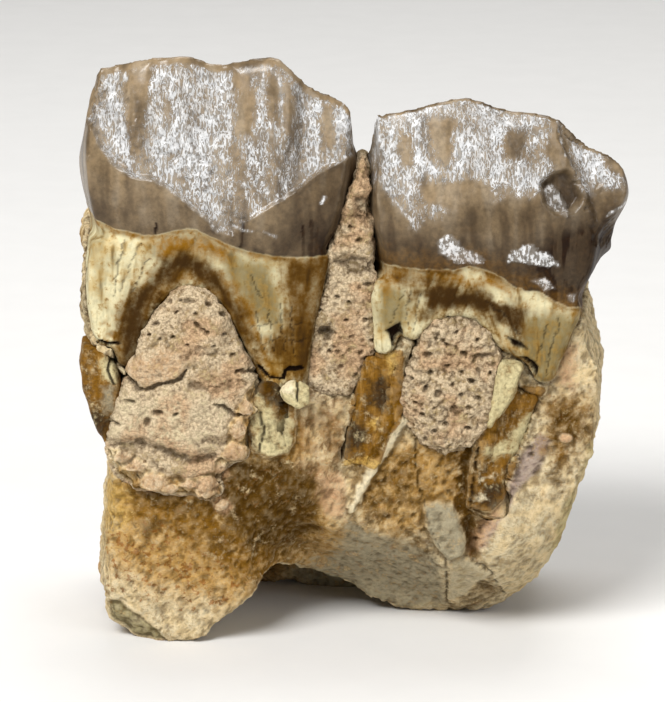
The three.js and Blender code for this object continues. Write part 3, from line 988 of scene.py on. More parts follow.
class Value:
    """A number in a material. Arithmetic on it adds Math nodes."""

    def __init__(self, finish, socket):
        self.finish = finish
        self.socket = socket

    def math(self, operation, *terms):
        inputs = dict(enumerate(terms))
        return self.finish.node("ShaderNodeMath", {"operation": operation}, inputs)

    def __add__(self, other):
        return self.math("ADD", self, other)

    def __radd__(self, other):
        return self.math("ADD", other, self)

    def __sub__(self, other):
        return self.math("SUBTRACT", self, other)

    def __rsub__(self, other):
        return self.math("SUBTRACT", other, self)

    def __mul__(self, other):
        return self.math("MULTIPLY", self, other)

    def __rmul__(self, other):
        return self.math("MULTIPLY", other, self)

    def __abs__(self):
        return self.math("ABSOLUTE", self)


class Finish:
    """A material being built, with short ways to add its nodes."""

    def __init__(self, name):
        self.material = bpy.data.materials.new(name)
        self.material.use_nodes = True
        self.tree = self.material.node_tree
        self.shader = self.tree.nodes["Principled BSDF"]
        self.place = self.node("ShaderNodeTexCoord", output="Object")

    def node(self, kind, settings=None, inputs=None, output=0):
        """Adds a node, makes its settings, then fills or links its sockets."""
        made = self.tree.nodes.new(kind)
        for name, value in (settings or {}).items():
            setattr(made, name, value)
        for name, value in (inputs or {}).items():
            self.fill(made.inputs[name], value)
        return Value(self, made.outputs[output])

    def fill(self, socket, value):
        if isinstance(value, Value):
            self.tree.links.new(value.socket, socket)
        elif socket.type == "RGBA":
            socket.default_value = (*value[:3], 1)
        else:
            socket.default_value = value

    def stain(self, name):
        """An amount from 0 to 1 that the carving stored on the vertices."""
        return self.node("ShaderNodeAttribute", {"attribute_name": name}, output="Fac")

    def stretched(self, stretch, turn=(0, 0, 0)):
        inputs = {"Vector": self.place, "Scale": stretch, "Rotation": turn}
        return self.node("ShaderNodeMapping", {}, inputs)

    def noise(self, size, detail=3, roughness=0.55, distortion=0, at=None):
        """Cloudy noise around 0.5, with clouds of a size in millimetres."""
        inputs = {
            "Vector": at or self.place, "Scale": 1 / (size * MM), "Detail": detail,
            "Roughness": roughness, "Distortion": distortion,
        }
        return self.node("ShaderNodeTexNoise", {}, inputs)

    def grains(self, size, feature="F1", at=None, output="Distance"):
        inputs = {"Vector": at or self.place, "Scale": 1 / (size * MM)}
        return self.node("ShaderNodeTexVoronoi", {"feature": feature}, inputs, output)

    def band(self, value, low, high):
        """From 0 at low to 1 at high, eased."""
        falling = low > high
        inputs = {"Value": value, 1: min(low, high), 2: max(low, high)}
        eased = self.node("ShaderNodeMapRange", {"interpolation_type": "SMOOTHSTEP"}, inputs)
        return 1 - eased if falling else eased

    def speckled(self, name, noise, width, spread):
        """A stain whose soft edges break up into the spots of a noise."""
        amount = self.stain(name) + (noise - 0.5) * (2 * spread)
        return self.band(amount, 0.5 - width, 0.5 + width)

    def blend(self, base, colour, share):
        """A colour laid over another by a share."""
        return self.node("ShaderNodeMix", {"data_type": "RGBA"}, {0: share, 6: base, 7: colour}, 2)

    def layers(self, colour, layers):
        """Colours laid one after another over the first, each by its share."""
        for tint, share in layers:
            colour = self.blend(colour, tint, share)
        return colour

    def shaded(self, colour, noise, darkest, lightest):
        """A colour made darker or lighter by a noise."""
        ranges = {"Value": noise, 1: 0.35, 2: 0.65, 3: darkest, 4: lightest}
        light = self.node("ShaderNodeMapRange", {}, ranges)
        inputs = {0: colour, "Scale": light}
        return self.node("ShaderNodeVectorMath", {"operation": "SCALE"}, inputs)

    def bump(self, height, distance):
        """Relief of a height from 0 to 1, times a distance in millimetres."""
        inputs = {"Height": height, "Strength": 1.0, "Distance": distance * MM}
        return self.node("ShaderNodeBump", {}, inputs)

    def surface(self, **sockets):
        for name, value in sockets.items():
            label = name.replace("_", " ").title().replace("Ior", "IOR")
            self.fill(self.shader.inputs[label], value)
        return self.material


def stained(finish, colour, layers, coarse, fine):
    """Lays stains over a colour, with edges broken up by a coarse and a fine noise.

    Each layer names its stain, its colour, how soft its edge is and how far the noises
    spread it.
    """
    noise = coarse * 0.6 + fine * 0.4
    return finish.layers(colour, [
        (tint, finish.speckled(name, noise, width, spread)) for name, tint, width, spread in layers
    ])


def molar_material(tones):
    """Taupe enamel, whose wrinkles carry a painted silvery sheen, painted glints and painted shade,
    over a streaked, stained root.
    """
    finish = Finish("weathered_molar")
    grain = finish.noise(0.5, 5, 0.65)
    clouds = finish.noise(2.2, 4)
    fibres = finish.stain("fibre")
    ribs = finish.noise(1.6, 2, 0.5, at=finish.stretched((1, 1, 0.2)))
    wrinkles = finish.noise(0.26, 3, 0.6, 0.6, at=finish.stretched((1, 1, 0.26)))
    tufts = finish.noise(1.3, 3, 0.6, 0.4, at=finish.stretched((1, 1, 0.5)))
    frost_sheen = finish.stain("frost_sheen")
    glint_and_white = finish.stain("glint_and_white")
    shade = finish.stain("shade")

    reach = frost_sheen * 0.1 + (tufts - 0.5) * 0.22 - 0.04
    strands = finish.band(abs(wrinkles - 0.5) - reach * 0.7, 0.04, 0.01)
    silver_sheen = strands * finish.band(frost_sheen, 0.02, 0.3) * (0.55 + finish.band(tufts, 0.4, 0.62) * 0.45)
    flecks = finish.band(wrinkles * 0.5 + grain * 0.5 + glint_and_white * 0.08, 0.54, 0.62)
    worn = finish.blend(tones.dentine_grey, tones.umber, finish.band(clouds + grain - 0.5, 0.4, 0.6))
    enamel = finish.layers(tones.enamel, [
        (tones.enamel_light, finish.band(ribs, 0.5, 0.66) * 0.6),
        (tones.enamel_dark_and_shade, finish.band(ribs, 0.5, 0.34) * 0.5),
        (tones.enamel_dark_and_shade, finish.band(clouds, 0.5, 0.7) * 0.3),
        # painted shade on the lower and right parts, and dark streaks near the neck
        (tones.enamel_dark_and_shade, shade * (0.85 + 0.15 * finish.band(fibres, 0.38, 0.62))),
        # painted sheen: grey haze and silvery strands over the wrinkled enamel
        (tones.sheen_haze, frost_sheen * (0.35 + 0.6 * finish.band(tufts, 0.4, 0.6))),
        (tones.frost_sheen, silver_sheen),
        # painted glints with white flecks, and whitish patches
        (tones.frost_sheen, glint_and_white * flecks),
        (tones.sheen_haze, glint_and_white * 0.5 * (1 - flecks)),
        (tones.amber, finish.speckled("amber", grain, 0.5, 0.4) * 0.45),
        (worn, finish.speckled("worn", grain, 0.3, 0.4)),
        (tones.bone_pale, finish.stain("rim") * 0.35),
    ])
    root = finish.layers(tones.dentine, [
        (tones.dentine_grey, finish.band(fibres, 0.5, 0.8) * 0.7),
        (tones.yellow, finish.band(clouds, 0.48, 0.66) * 0.35),
        (tones.amber, finish.band(grain, 0.54, 0.7) * 0.4),
    ])
    root = stained(finish, root, [
        ("grey", tones.dentine_grey, 0.6, 1.0), ("yellow", tones.yellow, 0.6, 1.4),
        ("amber", tones.amber, 0.65, 1.3), ("brown", tones.brown, 0.65, 1.2),
    ], fibres * 0.5 + clouds * 0.5, grain)
    root = finish.layers(root, [
        (tones.brown, finish.band(fibres, 0.62, 0.9) * 0.6),
        # dark brown beside joints: dirt at the joints and painted shade between the parts
        (tones.brown, finish.speckled("seam", grain, 0.4, 1.0) * 0.8),
    ])
    on_enamel = finish.stain("enamel")
    colour = finish.shaded(finish.blend(root, enamel, on_enamel), grain, 0.75, 1.15)
    # Dark cracks, painted shadow under broken root ends, painted shade in gaps, and darker in the
    # hollows of the relief
    dirt_and_shade = finish.speckled("soot_and_shade", grain, 0.4, 0.5)
    colour = finish.layers(colour, [
        (tones.soot_and_shade, dirt_and_shade), (tones.soot_and_shade, finish.stain("hollow") * (0.5 - on_enamel * 0.4)),
    ])

    relief = strands * frost_sheen * 0.7 + on_enamel * 0.3 * grain + (1 - on_enamel) * grain
    normal = finish.bump(relief, 0.1)
    polish = on_enamel * (1 - shade * 0.8) * (1 - finish.stain("worn") * 0.8)
    roughness = 0.62 - polish * 0.3 + dirt_and_shade * 0.3
    return finish.surface(
        base_color=colour, roughness=roughness, coat_weight=polish * (1 - dirt_and_shade) * 0.4,
        coat_roughness=0.2, specular_ior_level=ENAMEL_GLOSS, normal=normal,
    )


GROUND_STAINS = (
    "silt", "tip", "grey", "olive", "violet", "ochre", "amber", "pink", "umber", "brown", "pale",
    "yellow", "white", "speck", "soot_and_shade",
)


def ground_material(name, tones, gloss):
    """Bone, hardened silt or amber root, whichever the stains say, and what stains them all."""
    finish = Finish(name)
    grain = finish.noise(0.36, 5, 0.7)
    lumps = finish.noise(1.2, 5, 0.66)
    clouds = finish.noise(3.0, 3)
    motes = finish.noise(0.5, 3, 0.65)
    sand = finish.grains(0.24)
    fibres = finish.noise(0.5, 4, 0.6, at=finish.stretched((1, 1, 0.2), (0, 0.3, 0)))
    on_silt = finish.speckled("silt", grain, 0.3, 0.6)
    on_tip = finish.speckled("tip", grain, 0.25, 0.6)
    crest = finish.stain("crest")

    bone = finish.layers(tones.bone, [
        (tones.bone_pale, finish.band(lumps, 0.44, 0.6) * 0.8),
        (tones.ochre, finish.band(clouds, 0.5, 0.68) * 0.25),
        (tones.bone_grey, finish.band(grain, 0.5, 0.68) * 0.25),
        (tones.bone_pale, crest * 0.4),
    ])
    silt = finish.layers(tones.silt, [
        (tones.silt_pink, finish.band(clouds, 0.45, 0.62) * 0.7),
        (tones.silt_grey, finish.band(lumps, 0.52, 0.68) * 0.5),
        (tones.silt_grey, finish.band(grain, 0.5, 0.66) * 0.7),
        (tones.silt_grey, finish.band(sand, 0.45, 0.75) * 0.45),
    ])
    tip = finish.layers(tones.amber, [
        (tones.brown, finish.band(lumps, 0.44, 0.66) * 0.7),
        (tones.ochre, finish.band(fibres, 0.48, 0.7) * 0.6),
    ])
    colour = finish.layers(bone, [(silt, on_silt), (tip, on_tip)])

    colour = stained(finish, colour, [
        ("grey", tones.bone_grey, 0.5, 1.0), ("olive", tones.bone_olive, 0.5, 1.0),
        ("violet", tones.violet, 0.5, 1.0), ("ochre", tones.ochre, 0.5, 1.3),
        ("amber", tones.amber, 0.5, 1.4), ("umber", tones.umber, 0.5, 1.4),
        ("pink", tones.silt_pink, 0.5, 1.2), ("brown", tones.brown, 0.5, 1.4),
        ("pale", tones.dentine_pale, 0.5, 1.3), ("yellow", tones.yellow, 0.4, 1.2),
        ("white", tones.bone_pale, 0.4, 1.2),
    ], lumps, grain)
    speck = finish.stain("speck")
    specks = finish.band(motes + speck * 0.08 + lumps * 0.6, 0.92, 1.0)
    colour = finish.layers(colour, [
        (tones.rust, specks * finish.band(speck, 0.1, 0.6) * 0.7),
        (tones.bone_pale, crest * 0.1),
        # dark brown beside joints: dirt at the joints and painted shade between the parts
        (tones.brown, finish.speckled("seam", grain, 0.4, 1.2) * 0.6),
        # darker in the hollows of the relief
        (tones.brown, finish.stain("hollow") * 0.55),
        # dark cracks, and painted shade in pits, pores, gaps and under ledges
        (tones.soot_and_shade, finish.speckled("soot_and_shade", grain, 0.5, 0.5) * 0.8),
    ])
    colour = finish.shaded(colour, grain, 0.72, 1.16)
    normal = finish.bump(grain + lumps * 0.6 - sand * on_silt * 0.35, 0.34)
    return finish.surface(
        base_color=colour, roughness=0.9 - on_tip * 0.42, specular_ior_level=gloss, normal=normal,
    )


def floor_material(tones):
    finish = Finish("pale_floor")
    paper = finish.noise(6, 3)
    colour = finish.blend(tones.floor, [channel * 0.94 for channel in tones.floor], paper)
    return finish.surface(base_color=colour, roughness=0.85)


# Carving and staining of each piece

def below_line(skin, line):
    """How many pixels below a line from left to right each vertex is, all round the piece."""
    across, down = np.array(line, float).T
    return skin.pixels[:, 1] - np.interp(skin.pixels[:, 0], across, down)


def behind_rim(skin):
    """How many millimetres each vertex lies behind the front rim of the chewing surface."""
    column = np.round((skin.points[:, 0] - CAD_BOX[0][0]) / (0.5 * MM)).astype(int)
    column -= column.min()
    up = skin.outward[:, 2] > 0.75
    rim = np.full(column.max() + 1, np.inf)
    np.minimum.at(rim, column[up], skin.depth[up])
    return np.clip(skin.depth - rim[column], 0, 9)


def wear_crown(skin, enamel):
    """Stains what the front doesn't show: painted frost sheen all round, worn dentine and its enamel
    rims.
    """
    upright = smooth(0.6, 0.3, np.abs(skin.outward[:, 2]))
    high = smooth(28 * MM, 40 * MM, skin.points[:, 2])
    drifts = smooth(-0.2, 0.4, rough(skin.points, np.array([2, 2, 5]) * MM, 15))
    skin.stain("frost_sheen", (1 - skin.front) * enamel * upright * high * drifts * 0.7)
    level = skin.outward[:, 2] + 0.08 * rough(skin.points, 1.2 * MM, 16)
    worn = smooth(0.8, 0.92, level) * enamel * smooth(3, 4.5, behind_rim(skin))
    skin.stain("worn", worn)
    skin.stain("rim", 4 * worn * (1 - worn))


def lay_fibres(skin, aims, seed):
    """Stains the streaks that run down each root to the point it aims at."""
    left, right = aims
    nearer_left = skin.pixels[:, 0] < (left[0] + right[0]) / 2
    across = np.where(nearer_left, left[0], right[0])
    down = np.where(nearer_left, left[1], right[1])
    height = np.maximum(down - skin.pixels[:, 1], 40)
    fan = (skin.pixels[:, 0] - across) / height * 140 / PIXELS_PER_MM
    along = skin.pixels[:, 1] / PIXELS_PER_MM * 0.12
    spots = np.stack([fan + 9 * nearer_left, skin.depth, along], 1)
    streaks = rough(spots, 0.34, seed, 3)
    skin.stain("fibre", 0.5 + 0.5 * streaks)
    return streaks


def crack_roots(skin, root, hairlines, aims, fibre_seed, grain_seed):
    """Carves the fine cracks of the roots and the streaks that fan out along them."""
    cracks = skin.strokes(hairlines, 1.1, 4) * root
    skin.stain("soot_and_shade", cracks * 0.38)
    skin.raise_by(0.1 * root * lay_fibres(skin, aims, fibre_seed) - 0.08 * cracks)
    skin.raise_by(0.04 * rough(skin.points, np.array([0.6, 0.6, 2.2]) * MM, grain_seed))


def carve_front_molar(skin):
    past_neck = below_line(skin, FRONT_NECK) + rough(skin.points, 0.5 * MM, 6)
    enamel = smooth(1.2, -1.2, past_neck)
    skin.stain("enamel", enamel)
    frosted_sheen = skin.patch(FRONT_FROSTED_SHEEN, 2.5, 2) * enamel
    plain = skin.patches(FRONT_PLAIN, 5, 5)
    bright_sheen = skin.patches(FRONT_BRIGHT_SHEEN, 9, 7)
    near_ridge = np.maximum(
        skin.stroke(FRONT_V_RIDGE_LEFT, 46, 0), 0.6 * skin.stroke(FRONT_V_RIDGE_RIGHT, 40, 0)
    )
    skin.raise_by(-frosted_sheen * (0.1 + 0.4 * near_ridge))
    skin.raise_by(0.12 * skin.stroke(FRONT_V_RIDGE_LEFT, 4))
    skin.raise_by(0.08 * skin.stroke(FRONT_V_RIDGE_RIGHT, 4))
    for outline, height in FRONT_RIBS:
        skin.raise_by(height * skin.patch(outline, 10, 1) * enamel)
    edge_band = smooth(10, 4, skyline_depth(skin))
    bare = (1 - 0.85 * plain) * (1 - edge_band) * (1 - 0.3 * skin.patch(FRONT_SPARSE, 14, 8))
    # Painted sheen over the wrinkled upper face, brightest where the lights reflect
    frost_sheen = frosted_sheen * (0.55 + 0.45 * bright_sheen) * bare
    skin.stain("frost_sheen", frost_sheen * smooth(0.75, 0.45, skin.outward[:, 2]))
    wear_crown(skin, enamel)
    # Painted glints along edges and along the V ridge
    skin.stain("glint_and_white", skin.strokes(FRONT_PAINTED_GLINTS, 2.2, 1.5) * 0.9)
    skin.stain("glint_and_white", skin.stroke(FRONT_V_RIDGE_LEFT, 2, 1) * 0.6)
    # Painted shade: the enamel darker towards the neck and the right; and dark streaks near the neck
    low = smooth(-60, 0, past_neck)
    right = smooth(250, 330, skin.pixels[:, 0])
    skin.stain("shade", enamel * (1 - frosted_sheen) * np.clip(0.12 + 0.3 * low + 0.55 * right, 0, 1))
    skin.stain("shade", skin.strokes(FRONT_CROWN_STAINS, 3.2, 2))
    root = 1 - enamel
    skin.lay([
        ("grey", [FRONT_GREY_ROOT], 14, 5, 1), ("amber", [FRONT_AMBER], 12, 6, 1),
        ("amber", [FRONT_REAR_ROOT_BROWN], 16, 8, 0.9), ("amber", [FRONT_FURCATION], 32, 10, 1),
        ("brown", [FRONT_FURCATION], 15, 8, 1), ("brown", [FRONT_REAR_ROOT_BROWN], 14, 8, 0.62),
        ("yellow", [FRONT_REAR_ROOT_YELLOW], 9, 5, 0.8),
    ], root)
    skin.stain("amber", root * skin.stroke(FRONT_ARCH, 22, 4) * 0.85)
    skin.stain("grey", root * smooth(-0.3, 0.5, rough(skin.points, 1.8 * MM, 8)) * 0.45)
    skin.stain("amber", root * smooth(9, 2, past_neck) * 0.75)
    skin.stain("amber", root * 0.7 * (1 - skin.front))
    crack_roots(skin, root, FRONT_ROOT_HAIRLINES, ROOT_AIMS["front_molar"], 11, 13)
    # Painted shadow in the gap under each broken root end
    break_shadows = skin.strokes(FRONT_ROOT_BREAK_SHADOWS, 2.4, 1.5)
    skin.stain("soot_and_shade", root * break_shadows)
    skin.raise_by(-0.3 * break_shadows * root)


def skyline_depth(skin):
    """How many pixels below the top of its crown each vertex shows, for the chewing edge."""
    across = np.round(skin.pixels[:, 0]).astype(int)
    across = np.clip(across, 0, PICTURE[0] - 1)
    top = np.full(PICTURE[0], np.inf)
    np.minimum.at(top, across, skin.pixels[:, 1])
    return skin.pixels[:, 1] - top[across]


def carve_rear_molar(skin):
    past_neck = below_line(skin, REAR_NECK) + 2 * rough(skin.points, 0.5 * MM, 6)
    enamel = smooth(1.4, -1.4, past_neck)
    skin.stain("enamel", enamel)
    frosted_sheen = skin.patch(REAR_FROSTED_SHEEN, 14, 10) * enamel
    plain = skin.patches(REAR_PLAIN, 5, 5)
    bright_sheen = skin.patches(REAR_BRIGHT_SHEEN, 9, 7)
    skin.raise_by(-0.15 * frosted_sheen)
    skin.relax(skin.patch(REAR_EVENED, 10, 0) * 0.8, 40)
    skin.relax(smooth(0, 16, depth_inside(skin.pixels, REAR_UNDERSIDE)) * 0.9, 60)
    skin.raise_by(-0.35 * skin.stroke(REAR_LOBE_GROOVE, 12, 1))
    pit = skin.patch(REAR_PIT, 3.5, 1.5)
    crust = skin.patch(REAR_PIT_CRUST, 2, 2, 0.4)
    skin.raise_by(-0.95 * pit)
    skin.raise_by(crust * (0.25 + 0.18 * rough(skin.points, 0.3 * MM, 31)))
    # Painted sheen over the wrinkled upper face, brightest where the lights reflect
    frost_sheen = frosted_sheen * (0.62 + 0.38 * bright_sheen) * (1 - 0.9 * plain) * (1 - pit)
    skin.stain("frost_sheen", frost_sheen * smooth(0.75, 0.45, skin.outward[:, 2]))
    wear_crown(skin, enamel)
    # Whitish patches and the pit's crust, and painted glints along edges
    white = skin.patches(REAR_WHITE, 1.5, 3, 0.35)
    skin.raise_by(0.07 * white * (1 + rough(skin.points, 0.25 * MM, 32)))
    skin.stain("glint_and_white", np.maximum(white, crust * 0.6))
    skin.stain("glint_and_white", skin.strokes(REAR_PAINTED_GLINTS, 2.4, 1.5) * 0.85)
    # Painted shade: the enamel darker towards the neck and the lower right, and in the pit
    low = smooth(-50, 0, past_neck)
    right = smooth(500, 590, skin.pixels[:, 0]) * smooth(200, 260, skin.pixels[:, 1])
    outside_sheen = 1 - skin.patch(REAR_FROSTED_SHEEN, 22, 8)
    skin.stain("shade", enamel * outside_sheen * np.clip(0.48 + 0.35 * low + 0.9 * right, 0, 1))
    skin.stain("shade", pit * 0.8)
    skin.stain("amber", enamel * smooth(-32, -2, past_neck) * 0.5)
    root = 1 - enamel
    skin.lay([
        ("amber", [REAR_NECK_STAIN], 18, 7, 1), ("brown", [REAR_NECK_BROWN], 8, 6, 0.6),
        ("amber", [REAR_FURCATION], 18, 7, 1), ("brown", [REAR_FURCATION], 11, 8, 1),
        ("grey", REAR_GREY_PATCHES, 10, 5, 1),
    ], root)
    skin.stain("amber", root * smooth(455, 520, skin.pixels[:, 0]) * 0.5)
    skin.stain("amber", root * smooth(34, 8, past_neck) * 0.8)
    skin.stain("brown", root * smooth(8, 2, past_neck) * 0.4)
    for name in ("brown", "amber"):
        skin.clean(name, skin.patches(REAR_CREAM_PATCHES, 5, 5) * 0.65)
        skin.clean(name, skin.patch(REAR_GREY_PATCHES[1], 7, 5) * 0.8)
    skin.stain("amber", root * 0.7 * (1 - skin.front))
    crack_roots(skin, root, REAR_ROOT_HAIRLINES, ROOT_AIMS["rear_molar"], 17, 12)
    # Painted shade in the gaps beside the roots
    shaded_gaps = skin.patches(REAR_SHADED_GAPS, 2.5, 2)
    skin.stain("soot_and_shade", shaded_gaps * 0.9)
    skin.raise_by(-0.5 * shaded_gaps)


def carve_front_silt(skin):
    own = skin.patch(FRONT_SILT_OUTLINE, 4, 4)
    own = np.maximum(own, 1 - skin.front)
    stain_bone(skin)
    lumps = skin.holes(FRONT_LUMPS, 0.5)
    stain_as(skin, "silt", np.maximum(own, lumps * 0.8))
    skin.stain("pink", lumps * (1 - own) * 0.45)
    skin.raise_by(-0.5 * (1 - own) * (1 - lumps))
    skin.raise_by(0.55 * (1 - own) * rough(skin.points, 1.1 * MM, 29))
    pits = skin.holes(FRONT_SILT_PITS)
    cracks = skin.strokes(FRONT_SILT_CRACKS, 2.6, 2.5)
    creases = skin.strokes(FRONT_SILT_CREASES, 6, 3)
    undercut = skin.patch(FRONT_SILT_UNDERCUT, 5, 3)
    skin.raise_by(0.4 * skin.patch(FRONT_SILT_FLAKE, 5, 3))
    skin.raise_by(0.5 * skin.patch(FRONT_SILT_BELLY, 12, 4))
    skin.raise_by(0.3 * skin.patch(FRONT_SILT_SHELF, 4, 2) - 0.4 * undercut)
    skin.raise_by(-0.4 * pits - 0.4 * cracks - 0.2 * creases)
    roughen_silt(skin, 21, 0.35)
    # Painted shade in the pits, cracks and creases and under the shelf
    for hollow, share in [(pits, 0.35), (cracks, 0.5), (creases, 0.15), (undercut, 0.2)]:
        skin.stain("soot_and_shade", hollow * share)
    skin.stain("pink", skin.patch(FRONT_SILT_FLAKE, 6, 4) * 0.45)
    skin.stain("white", skin.patch(FRONT_SILT_BELLY, 20, 6) * 0.35)
    skin.clean("seam", skin.patch(FRONT_SILT_QUIET, 8, 4) * 0.9)


def terraces(values, steps):
    """Values pressed into steps, like the ledges of a broken face."""
    level = values * steps
    base = np.floor(level)
    return (base + smooth(0.3, 0.7, level - base)) / steps


def stain_as(skin, kind, own):
    """Makes a part of the piece silt or root, free of the stains that were laid before."""
    for name in GROUND_STAINS:
        skin.clean(name, own)
    skin.stain(kind, own)


def roughen_silt(skin, seed, lumpy):
    """Lumps, grains and scattered small pits of hardened silt."""
    skin.raise_by(0.4 * rough(skin.points, 2.4 * MM, seed, 2))
    skin.raise_by(0.2 * rough(skin.points, 0.9 * MM, seed + 3, 4))
    skin.raise_by(0.55 * lumpy * np.abs(rough(skin.points, 0.9 * MM, seed + 5, 3)))
    bent = skin.points + 0.2 * MM * rough(skin.points, 0.5 * MM, seed + 6)[:, None]
    first, _ = nearest_cell(bent, 0.9 * MM, seed + 7)
    chosen = smooth(-0.2, 0.5, hills(skin.points, 1.1 * MM, seed + 9))
    pores = smooth(0.38, 0.1, first) * chosen
    skin.raise_by(-0.24 * lumpy * pores)
    # Painted shade in the pores
    skin.stain("soot_and_shade", pores * 0.35 * lumpy)


def carve_middle_silt(skin):
    stain_as(skin, "silt", 1)
    hollows = skin.patches(MIDDLE_SILT_HOLLOWS, 5, 4)
    pits = skin.holes(MIDDLE_SILT_PITS)
    skin.raise_by(-0.6 * hollows - 0.35 * pits)
    roughen_silt(skin, 41, 0.7)
    # Painted shade in the hollows and pits
    skin.stain("soot_and_shade", np.maximum(hollows * 0.5, pits * 0.35))


def carve_rear_silt(skin):
    stain_as(skin, "silt", 1)
    pits = skin.holes(REAR_SILT_PITS)
    rings = skin.rings(REAR_SILT_RINGS)
    skin.raise_by(-0.4 * pits - 0.15 * rings)
    roughen_silt(skin, 61, 1)
    # Painted shade in the pits and rings
    skin.stain("soot_and_shade", np.maximum(pits * 0.4, rings * 0.2))


def stain_bone(skin):
    """Stains of the bone, by where the front shows them, and broad ones all round."""
    points = skin.points
    fine = rough(points, 0.7 * MM, 71, 3)
    skin.lay([
        ("ochre", BONE_OCHRE, 26, 10, 0.8), ("amber", BONE_AMBER, 16, 10, 0.75 + 0.4 * fine),
        ("amber", [BONE_DARK], 36, 12, 0.8), ("amber", [BONE_POROUS], 6, 5, 0.35 + 0.5 * fine),
        ("umber", [BONE_DARK], 18, 10, 0.95),
        ("umber", BONE_BROWN_PORES, 12, 8, 0.5 + 0.5 * fine),
        ("umber", BONE_RIGHT_BROWN, 10, 6, 0.5 + 0.6 * fine),
        ("umber", [BONE_CHIP_DARK], 4, 2, 0.6), ("umber", [BONE_SOCKET_DARK], 7, 4, 0.8),
        ("umber", BONE_MOTTLES, 9, 9, 0.6), ("yellow", [BONE_YELLOW], 10, 6, 0.4),
        ("pink", BONE_PINK, 8, 6, 0.75), ("pink", [BONE_FIBRES], 8, 4, 0.25),
        ("olive", [BONE_RIM], 5, 3, 0.6), ("olive", [BONE_OLIVE], 10, 6, 0.5),
    ])
    skin.stain("amber", skin.stroke(BONE_GROOVE, 12, 3) * 0.9)
    skin.stain("umber", skin.stroke(BONE_GROOVE, 7, 2) * 0.8)
    skin.stain("speck", np.maximum(skin.patch(BONE_SPECKLED, 16, 6), 0.3))
    skin.stain("pink", skin.holes(FRONT_LUMPS, 0.7, 4) * 0.8)
    for name, seed, share in BONE_HIDDEN_STAINS:
        broad = smooth(0.0, 0.5, rough(points, 6 * MM, seed, 4))
        skin.stain(name, (1 - skin.front) * broad * share)


def carve_bone(skin):
    points = skin.points
    knob = skin.patch(BONE_KNOB, 3, 1.5)
    ridge = skin.stroke(BONE_PALE_RIDGE, 6, 0.8)
    plain = skin.patch(BONE_PLAIN, 6, 4)
    violet = skin.patch(BONE_VIOLET, 4, 4)
    grey = skin.patch(BONE_GREY, 8, 6)
    chip = skin.patch(BONE_CHIP, 2, 1)
    lobe_break = skin.patch(LOBE_BREAK, 2.5, 2)
    cracks = skin.strokes(BONE_CRACKS, 1.3, 2)
    nodule = skin.holes([BONE_NODULE], 0.3, 0.5)
    fibres = skin.patch(BONE_FIBRES, 6, 3)
    strands = rough(points, np.array([0.4, 0.4, 3]) * MM, 89, 3)
    coarse = 1 - 0.8 * np.maximum.reduce([knob, plain * 0.6, grey * 0.6, chip])
    ledges = terraces(rough(points, np.array([2.4, 2.4, 3.6]) * MM, 77, 4), 5)
    skin.raise_by(0.55 * ledges * (0.5 + 0.5 * coarse))
    skin.raise_by(0.2 * rough(points, 0.9 * MM, 81, 4) * coarse)
    skin.raise_by(0.22 * np.abs(rough(points, 0.8 * MM, 87, 3)) * coarse)
    first, _ = nearest_cell(points, 0.8 * MM, 85)
    pores = smooth(0.42, 0.15, first) * np.maximum(skin.patch(BONE_POROUS, 6, 5) * 0.7, violet)
    skin.raise_by(-0.28 * pores + 0.16 * strands * fibres)
    skin.raise_by(0.35 * (1 - skin.front) * rough(points, 1.6 * MM, 83, 4))
    skin.raise_by((1 + 0.4 * rough(points, 1.2 * MM, 73)) * knob)
    skin.raise_by(0.5 * ridge + 0.2 * chip + 0.35 * nodule - 0.15 * cracks - 0.3 * lobe_break)
    skin.raise_by(-0.35 * skin.stroke(BONE_GROOVE, 8, 2) - 0.5 * skin.patch(BONE_SOCKET_DARK, 5, 3))

    stain_bone(skin)
    for name in ("umber", "amber", "ochre", "speck"):
        skin.clean(name, np.maximum.reduce([knob, ridge, nodule, chip * 0.7, plain * 0.7]))
    skin.stain("pink", nodule)
    skin.stain("olive", lobe_break * 0.45)
    for face, share in [(lobe_break, 0.8), (grey, 0.85), (knob, 0.9), (chip, 0.6), (plain, 0.3)]:
        skin.stain("grey", face * share)
    skin.stain("violet", violet * 0.9)
    skin.stain("white", np.maximum(ridge * 0.7, chip * 0.3))
    skin.stain("umber", fibres * smooth(0.05, -0.5, strands) * 0.35)
    # Dark cracks, and painted shade along the seams and in the pores
    skin.stain("soot_and_shade", np.maximum(cracks * 0.6, skin.strokes(BONE_SEAM_SHADOWS, 5, 2.5) * 0.35))
    skin.stain("soot_and_shade", pores * 0.45)
    skin.clean("seam", skin.patch(FRONT_SILT_QUIET, 8, 4) * 0.9)
    for outline in TIP_OUTLINES.values():
        own = skin.patch(outline, 2.5, 2)
        stain_as(skin, "tip", own)
        skin.raise_by(0.35 * own)
    for node in TIP_OUTLINES:
        mark_tip(skin, node)
    skin.clean("seam", skin.stains["tip"] * 0.6)


def mark_tip(skin, node):
    """Stains of one broken root tip, which reach onto the bone beside it."""
    marks = TIP_MARKS[node]
    for name in ("pale", "grey", "brown", "yellow", "white"):
        if name in marks:
            skin.stain(name, skin.patches(marks[name], 6, 5, 0.5) * skin.stains["tip"] * 0.8)
    if "cracks" in marks:
        cracks = skin.strokes(marks["cracks"], 1.8, 1.5) * skin.stains["tip"]
        skin.stain("soot_and_shade", cracks * 0.9)
        skin.raise_by(-0.2 * cracks)


